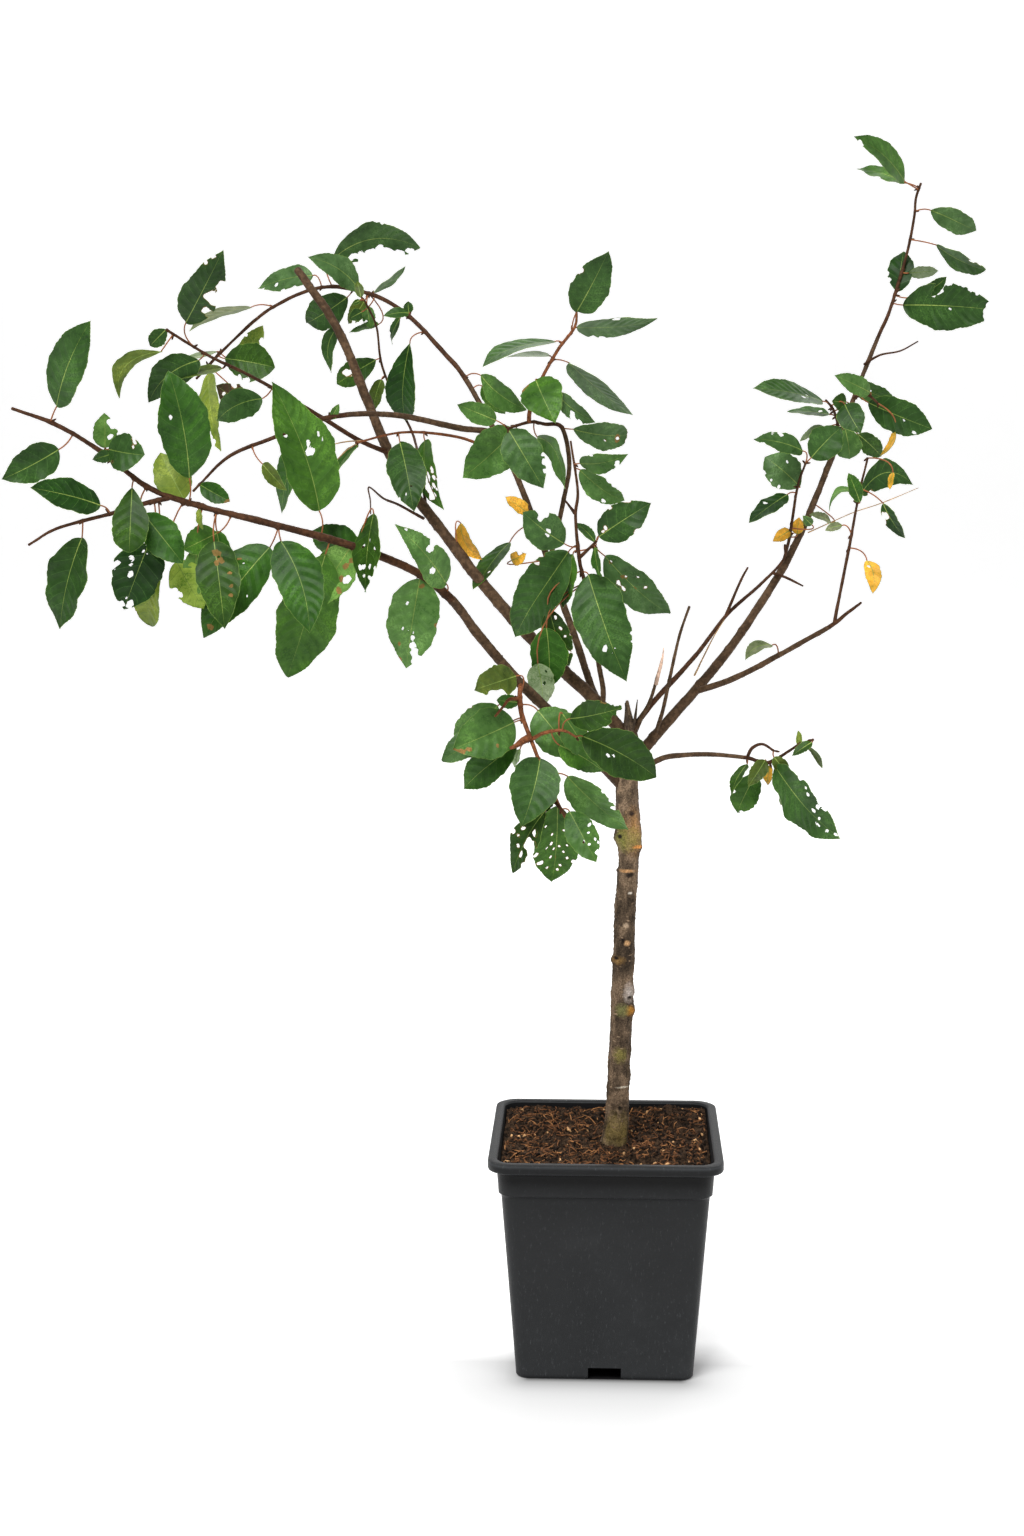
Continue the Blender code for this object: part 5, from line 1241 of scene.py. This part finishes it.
# Patches of other colours on the trunk's front: x, height, half width, half height, colour
TRUNK_PATCHES = (
    (24.6, 527, 8, 20, (140, 104, 64)), (17, 520, 13, 11, (116, 114, 54)), (29.6, 511.6, 6, 2, (176, 118, 62)),
    (22.5, 545, 4, 3.4, (40, 30, 24)), (12.1, 522, 2.8, 2.6, (26, 22, 16)), (18.1, 488, 10, 1.8, (164, 124, 84)),
    (22, 483.9, 4.4, 2.6, (34, 26, 20)), (22.1, 466, 2.2, 1.4, (186, 176, 162)), (18.5, 434, 3, 3, (150, 130, 108)),
    (19.6, 416.4, 3.4, 3, (172, 134, 94)), (15.7, 419.3, 2.2, 3.6, (26, 19, 14)), (10, 398.8, 7, 4, (122, 94, 54)),
    (9, 401.3, 3.2, 2, (24, 18, 13)), (22, 366.4, 5, 9, (156, 146, 138)), (22.9, 361.4, 3.2, 2.4, (24, 16, 12)),
    (24, 348.3, 5.2, 4.6, (156, 106, 38)), (15.2, 349.2, 6, 6, (106, 106, 62)), (13.5, 303.8, 6, 7, (110, 102, 52)),
    (16.7, 271.5, 8, 1.1, (176, 166, 148)), (13.8, 250.1, 2.8, 2.6, (16, 12, 9)), (10, 244, 1.6, 4, (26, 19, 13)),
    (12, 226, 16, 17, (116, 100, 58)),
)


def make_trunk(paths):
    """The trunk: one tube with flare, graft bulge, knobs and ridges, ending in the dead stub."""
    rng = np.random.default_rng(5)
    corners = 88
    path, run = evenly(paths["trunk"], 1.0)
    radius = np.repeat(trunk_diameters(path)[:, None] / 2, corners, axis=1)
    swellings = bumps(run, corners, [(np.interp(row[0], path[:, 2], run), *row[1:]) for row in TRUNK_SWELLINGS])
    calm = np.clip((TRUNK[-1][2] - path[:, 2]) / 60, 0.25, 1)[:, None]
    relief = bark_relief(rng, run, corners, 10, settings().relief / MM)
    gather = Gather()
    tube(gather, path, radius + (relief + swellings) * calm, corners)
    middle = tuple(settings().bark_colour)
    material, add, link, tone, height = bark("trunk_bark", middle, 110, (1, 1, 0.45), patches=TRUNK_PATCHES)
    link(tone, "Base Color")
    bump(add, link, height, 0.7, 0.0009)
    place(gather.build("trunk_bark", [material]), "trunk", "trunk")


def limb_radii(name, run):
    """Half of a limb's tapering diameter along its run."""
    root, tip = (BOUGHS[name][1:3] if name in BOUGHS else STEMS[name][:2])
    return tapered(run, root, tip) / 2


def young_bark(name, colour):
    """Smooth bark of boughs and twigs, with pores."""
    colour = tuple(colour)
    material, add, link = new_material(name, 0.6, 0.07)
    streaks = object_noise(add, 260, 4.0, rough=0.6)
    blotches = object_noise(add, 60, 3.0)
    tone = ramp(add, total(add, streaks, blotches, 0.6), (0.68, shade(colour, 0.66)), (0.80, colour),
                (0.94, shade(colour, 1.45)))
    pores = object_noise(add, 420, 2.0, rough=0.5)
    link(mix(add, between(add, pores, 0.68, 0.74), tone, shade(colour, 2.2)), "Base Color")
    bump(add, link, streaks, 0.35, 0.0004)
    return material


def make_boughs(paths):
    """The boughs and bare shoots: tapering tubes with fine ridges, pores and swollen joints."""
    gather = Gather()
    corners = 20
    for index, name in enumerate(BOUGHS):
        rng = np.random.default_rng((7, index))
        path, run = evenly(paths[name], 1.6)
        radius = np.repeat(limb_radii(name, run)[:, None], corners, axis=1)
        thick = radius[0, 0]
        relief = bark_relief(rng, run, corners, thick, 0.03 * thick)
        joints = [(at, rng.uniform(0, 360), 0.09 * thick, 2.2, 70) for at in np.arange(18, run[-1] - 8, 24)]
        pores = [(rng.uniform(0, run[-1]), rng.uniform(0, 360), 0.07 * thick, 0.8, 16)
                 for _ in range(int(run[-1] * 0.25))]
        tube(gather, path, radius + relief + bumps(run, corners, [*joints, *pores]), corners)
    place(gather.build("bough_bark", [young_bark("bough_bark", settings().shoot_colour)]), "boughs", *BOUGHS)


RED_STEMS = ("fork_hanging", "fork_hanging_right", "fork_hanging_left", "centre_upright", "level_side")


def make_twigs(paths):
    """The stems in the foliage: thinner tubes with a joint at each leaf and a bud above its stalk."""
    gather = Gather()
    corners = 12
    for index, (name, (_, _, _, leaves)) in enumerate(STEMS.items()):
        rng = np.random.default_rng((9, index))
        path, run = evenly(paths[name], 1.8)
        radius = np.repeat(limb_radii(name, run)[:, None], corners, axis=1)
        thick = radius[0, 0]
        joints = [(row[0] * run[-1], rng.uniform(0, 360), 0.22 * thick, 1.8, 90) for row in leaves]
        relief = bark_relief(rng, run, corners, thick, 0.04 * thick)
        tube(gather, path, radius + relief + bumps(run, corners, joints), corners, int(name in RED_STEMS))
        for row in leaves:
            add_bud(gather, at_run(path, np.array([row[0] * run[-1]]))[0], row[1], rng)
    fine = Gather()
    for index, (mark, rows) in enumerate(FINE_TWIGS.values()):
        rng = np.random.default_rng((13, index))
        nodes = np.array(rows, float)
        path, run = evenly(catmull_rom(nodes[:, :3], 10), 1.5)
        radius = np.interp(run / run[-1], np.linspace(0, 1, len(nodes)), nodes[:, 3]) / 2
        radius = radius[:, None] * (1 + 0.06 * bark_relief(rng, run, 9, 2, 1.0))
        tube(fine, path, radius, 9, mark)
    bare = young_bark("twig_bark", settings().twig_colour)
    red = young_bark("red_bark", linear(104, 62, 38))
    place(gather.build("twig_bark", [bare, red]), "twigs", *MASSES)
    dry = young_bark("dry_bark", linear(150, 122, 88))
    dead = young_bark("dead_bark", linear(72, 60, 50))
    torn = young_bark("torn_wood", linear(186, 156, 138))
    place(fine.build("fine_twigs", [bare, dry, dead, torn, red]), "twigs")


def add_bud(gather, root, bearing, rng):
    """A pointed bud in the angle above a leaf's stalk: radius 1.5 sqrt(t)(1-t)^0.8 along its length."""
    angle = math.radians(bearing + rng.choice((-1, 1)) * rng.uniform(28, 45))
    heading = np.array([math.cos(angle), rng.uniform(-0.4, 0.4), math.sin(angle)])
    t = np.linspace(0, 1, 7)
    length = rng.uniform(3.6, 5.5)
    path = root + unit(heading) * (0.8 + t[:, None] * length)
    radius = 2.0 * np.sqrt(t + 0.12) * (1 - t) ** 0.7 + 0.08
    tube(gather, path, radius, 7, 0, cap_rows=1)


def make_leaves(paths):
    """Every leaf, gathered by the part of the crown that it grows in: its blade by the source's rule, and its stalk."""
    skins, numbers = leaf_materials()
    stalks = Gather()
    for piece_name, masses in CROWN_PARTS.items():
        blades = Gather()
        for mass in masses:
            for stem in MASSES[mass][2]:
                index = list(STEMS).index(stem)
                path = paths[stem]
                length = run_lengths(path)[-1]
                for order, row in enumerate(STEMS[stem][3]):
                    root = at_run(path, np.array([row[0] * length]))[0]
                    rng = np.random.default_rng((31, index, order))
                    add_leaf(blades, stalks, root, order, row[1:], numbers, rng)
        place(blades.build(piece_name, skins, math.radians(50)), "foliage")
    blades = Gather()
    for index, (limb, rows) in enumerate(BOUGH_LEAVES.items()):
        length = run_lengths(paths[limb])[-1]
        for order, row in enumerate(rows):
            root = at_run(paths[limb], np.array([row[0] * length]))[0]
            add_leaf(blades, stalks, root, order, row[1:], numbers, np.random.default_rng((37, index, order)))
    place(blades.build("leaves_on_boughs", skins, math.radians(50)), "foliage")
    stalk, add, link = new_material("leaf_stalk", 0.55, 0.15)
    colour = tuple(settings().stalk_colour)
    link(ramp(add, object_noise(add, 120), (0.3, shade(colour, 0.7)), (0.7, shade(colour, 1.3))), "Base Color")
    place(stalks.build("leaf_stalks", [stalk, skins[numbers["rib"]]]), "foliage")


def leaf_materials():
    """The leaves' materials, and the number of each in every piece of leaves."""
    chosen = settings()
    made, numbers = [], {}
    for tint, colour in TINTS.items():
        numbers[tint] = len(made)
        made.append(leaf_skin(f"leaf_{tint}", linear(*colour)))
    for name, colour, roughness in (("under", chosen.under_colour, 0.6), ("rib", chosen.rib_colour, 0.5),
                                    ("vein", chosen.vein_colour, 0.5), ("margin", chosen.margin_colour, 0.55),
                                    ("worn", chosen.worn_colour, 0.8)):
        numbers[name] = len(made)
        made.append(leaf_skin(f"leaf_{name}", tuple(colour), roughness))
    return made, numbers


def add_leaf(blades, stalks, root, order, row, numbers, rng):
    """One leaf: the stalk's arc from shoot to blade, the blade, and its midrib as a tapering cord below.

    A point x along the blade and y across it lies at base + along x + across (y + bow) + normal rise. The bow is
    4 bend s(1-s) of the length. The rise is the camber 4 c s(1-s), less a curl of the last half, plus the fold |y|,
    the twist y(s-0.2), a wave along each edge and shallow furrows at the side veins.
    """
    bearing, reach, width, tint, wear, *own = row
    camber, fold, curl, twist, wave, rate = (rng.uniform(*limits) for limits in LEAF_FORM)
    usual = (rng.uniform(0.37, 0.47), rng.uniform(-0.03, 0.03), None, PETIOLE_SHARE, 0)
    widest, bend, lean, petiole, kink = (*own, *usual[len(own):])
    phases = rng.uniform(0, 6.28, 2)
    blade = reach * (1 - petiole)
    longer, along, across, normal = leaf_axes(root, order, bearing, reach, blade, width, lean)
    full_width = max(abs(width), NATURAL_WIDTH * blade)
    camber, fold, twist, wave = np.array([camber, fold, twist, wave]) * min(1, 1.5 * abs(width) / full_width)
    stalk = reach * petiole * longer
    blade *= longer
    base = root + turned(along, TOWARDS_VIEW, math.radians(kink)) * stalk

    def lie(x, y, v, quilt):
        s = x / blade
        edge = wave * full_width * np.sin(2 * np.pi * rate * s + np.where(v > 0, phases[0], phases[1])) * v ** 2
        rise = (4 * camber * blade * s * (1 - s) - curl * blade * np.clip(s - 0.5, 0, 1) ** 2
                + fold * np.abs(y) * (1 - 0.25 * np.abs(v)) + twist * y * (s - 0.2) + edge
                + FURROW * full_width * quilt)
        bow = 4 * bend * blade * s * (1 - s)
        middle = base + along * x[:, None] + across * (y + bow)[:, None] + normal * rise[:, None]
        return middle, normal * LEAF_THICKNESS / 2

    slots = np.array([numbers[tint], numbers["under"], numbers["rib"], numbers["vein"], numbers["margin"], numbers["worn"]])
    add_blade(blades, lie, blade, full_width, widest, wear, slots, rng)
    t = np.linspace(0, 1, 8)[:, None]
    bent = base - along * 0.5 * stalk + normal * 0.1 * stalk
    arc = root * (1 - t) ** 2 + bent * 2 * t * (1 - t) + base * t ** 2
    tube(stalks, arc, np.linspace(1.15, 1.0, 8) * STALK_RADIUS, 7, 0, cap_rows=1)
    x = np.linspace(-0.01, 0.9, 12) * blade
    still = np.zeros(12)
    line, lift = lie(x, still, still, still)
    tube(stalks, line - lift * 1.2, np.linspace(0.95, 0.25, 12) * STALK_RADIUS * 0.8, 5, 1, cap_rows=1)


FOOT_SHADOW = (                 # tone at shares of a quarter of a metre from the pot's foot
    (0, 0.10), (0.032, 0.32), (0.064, 0.39), (0.1, 0.46), (0.14, 0.51), (0.2, 0.545), (0.32, 0.58), (0.45, 0.61),
    (0.6, 0.66), (1, 1))


def make_stage():
    """A pale floor that curves up into a backdrop, soft lights and the camera."""
    width, depth, radius = 14.0, 6.0, 3.0
    angle = np.linspace(0, np.pi / 2, 16)
    back = depth + radius * np.sin(angle)
    up = radius * (1 - np.cos(angle))
    profile = np.vstack([[-8.0, 0], np.column_stack([back, up]), [depth + radius, 9.0]])
    x = np.array([-width, width])
    points = np.stack([np.broadcast_to(x[None, :], (len(profile), 2)),
                       np.broadcast_to(profile[:, :1], (len(profile), 2)),
                       np.broadcast_to(profile[:, 1:], (len(profile), 2))], axis=-1)
    gather = Gather()
    gather.add(points.reshape(-1, 3) / MM, grid_faces(len(profile), 2)[:, ::-1])
    material, add, link = new_material("pale_floor", 0.9, 0.1)
    tone = ramp(add, object_noise(add, 0.4), (0.3, (0.90, 0.90, 0.90)), (0.7, (0.93, 0.93, 0.93)))
    place_at = add("ShaderNodeTexCoord").outputs["Object"]
    x, y, _ = add("ShaderNodeSeparateXYZ", Vector=place_at).outputs
    beside = maths(add, "MAXIMUM", maths(add, "SUBTRACT", maths(add, "ABSOLUTE", x), 0.073), 0)
    before = maths(add, "MAXIMUM", maths(add, "SUBTRACT", maths(add, "MULTIPLY", y, -1), 0.085), 0)
    away = maths(add, "SQRT", total(add, maths(add, "POWER", beside, 2), maths(add, "POWER", before, 2)))
    shadow = ramp(add, between(add, away, 0, 0.25), *((at, (value,) * 3) for at, value in FOOT_SHADOW))
    shadow = mix(add, between(add, y, -0.045, 0.015), shadow, (1, 1, 1))
    tone = mix(add, 1.0, tone, shadow, "MULTIPLY")
    link(tone, "Base Color")
    link(tone, "Emission Color")
    material.node_tree.nodes["Principled BSDF"].inputs["Emission Strength"].default_value = 0.5
    gather.build("floor", [material])
    for name, where, size, power in (("key", (-0.9, -1.9, 3.4), 1.6, 165), ("fill", (2.4, -1.8, 2.0), 2.2, 30),
                                     ("back", (0.4, 2.4, 2.8), 2.4, 40)):
        lamp = bpy.data.lights.new(name, "AREA")
        lamp.size = size
        lamp.energy = power
        holder = bpy.data.objects.new(name, lamp)
        holder.location = where
        holder.rotation_mode = "QUATERNION"
        holder.rotation_quaternion = (Vector((0, 0, 0.6)) - Vector(where)).to_track_quat("-Z", "Y")
        bpy.context.scene.collection.objects.link(holder)
    world = bpy.data.worlds.new("studio")
    world.use_nodes = True
    background = world.node_tree.nodes["Background"]
    background.inputs["Color"].default_value = (1.0, 1.0, 1.0, 1)
    background.inputs["Strength"].default_value = 0.32
    bpy.context.scene.world = world
    camera = bpy.data.cameras.new("camera")
    camera.lens = FOCAL_PIXELS / PHOTO_HEIGHT * camera.sensor_width
    holder = bpy.data.objects.new("camera", camera)
    holder.location = Vector(VIEWPOINT * MM)
    heading = Vector((-math.sin(VIEW_YAW) * math.cos(VIEW_PITCH), math.cos(VIEW_YAW) * math.cos(VIEW_PITCH),
                      -math.sin(VIEW_PITCH)))
    holder.rotation_mode = "QUATERNION"
    holder.rotation_quaternion = heading.to_track_quat("-Z", "Y")
    bpy.context.scene.collection.objects.link(holder)
    bpy.context.scene.camera = holder
    bpy.context.scene.view_settings.view_transform = "Standard"


# Operators and panel

class MIRABELLE_OT_pot(bpy.types.Operator):
    """Make the moulded pot"""

    bl_idname = "mirabelle.pot"
    bl_label = "Pot"

    def execute(self, context):
        make_pot()
        return {"FINISHED"}


class MIRABELLE_OT_compost(bpy.types.Operator):
    """Make the compost with its chips and fibres"""

    bl_idname = "mirabelle.compost"
    bl_label = "Compost"

    def execute(self, context):
        make_compost()
        return {"FINISHED"}


class MIRABELLE_OT_trunk(bpy.types.Operator):
    """Make the trunk's bark"""

    bl_idname = "mirabelle.trunk"
    bl_label = "Trunk"

    def execute(self, context):
        make_trunk(limb_paths())
        return {"FINISHED"}


class MIRABELLE_OT_boughs(bpy.types.Operator):
    """Make the boughs and bare shoots"""

    bl_idname = "mirabelle.boughs"
    bl_label = "Boughs"

    def execute(self, context):
        make_boughs(limb_paths())
        return {"FINISHED"}


class MIRABELLE_OT_twigs(bpy.types.Operator):
    """Make the twigs and buds of the foliage"""

    bl_idname = "mirabelle.twigs"
    bl_label = "Twigs"

    def execute(self, context):
        make_twigs(limb_paths())
        return {"FINISHED"}


class MIRABELLE_OT_leaves(bpy.types.Operator):
    """Make the leaves, each part of the crown a piece"""

    bl_idname = "mirabelle.leaves"
    bl_label = "Leaves"

    def execute(self, context):
        make_leaves(limb_paths())
        return {"FINISHED"}


class MIRABELLE_OT_stage(bpy.types.Operator):
    """Make the floor, the lights and the camera"""

    bl_idname = "mirabelle.stage"
    bl_label = "Stage"

    def execute(self, context):
        make_stage()
        return {"FINISHED"}


STEPS = (MIRABELLE_OT_stage, MIRABELLE_OT_pot, MIRABELLE_OT_compost, MIRABELLE_OT_trunk, MIRABELLE_OT_boughs,
         MIRABELLE_OT_twigs, MIRABELLE_OT_leaves)


class MIRABELLE_PT_panel(bpy.types.Panel):
    """The tree's settings and the pieces in their order"""

    bl_label = "Potted mirabelle"
    bl_idname = "MIRABELLE_PT_panel"
    bl_space_type = "VIEW_3D"
    bl_region_type = "UI"
    bl_category = "Mirabelle"

    def draw(self, context):
        for name in MirabelleSettings.__annotations__:
            self.layout.prop(context.scene.mirabelle, name)
        for step in STEPS:
            self.layout.operator(step.bl_idname)


CLASSES = (MirabelleSettings, *STEPS, MIRABELLE_PT_panel)


def register():
    for cls in CLASSES:
        bpy.utils.register_class(cls)
    bpy.types.Scene.mirabelle = bpy.props.PointerProperty(type=MirabelleSettings)


def unregister():
    del bpy.types.Scene.mirabelle
    for cls in reversed(CLASSES):
        bpy.utils.unregister_class(cls)


def main():
    """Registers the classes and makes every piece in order."""
    register()
    for step in STEPS:
        getattr(bpy.ops.mirabelle, step.bl_idname.split(".")[1])()


if __name__ == "__main__":
    main()
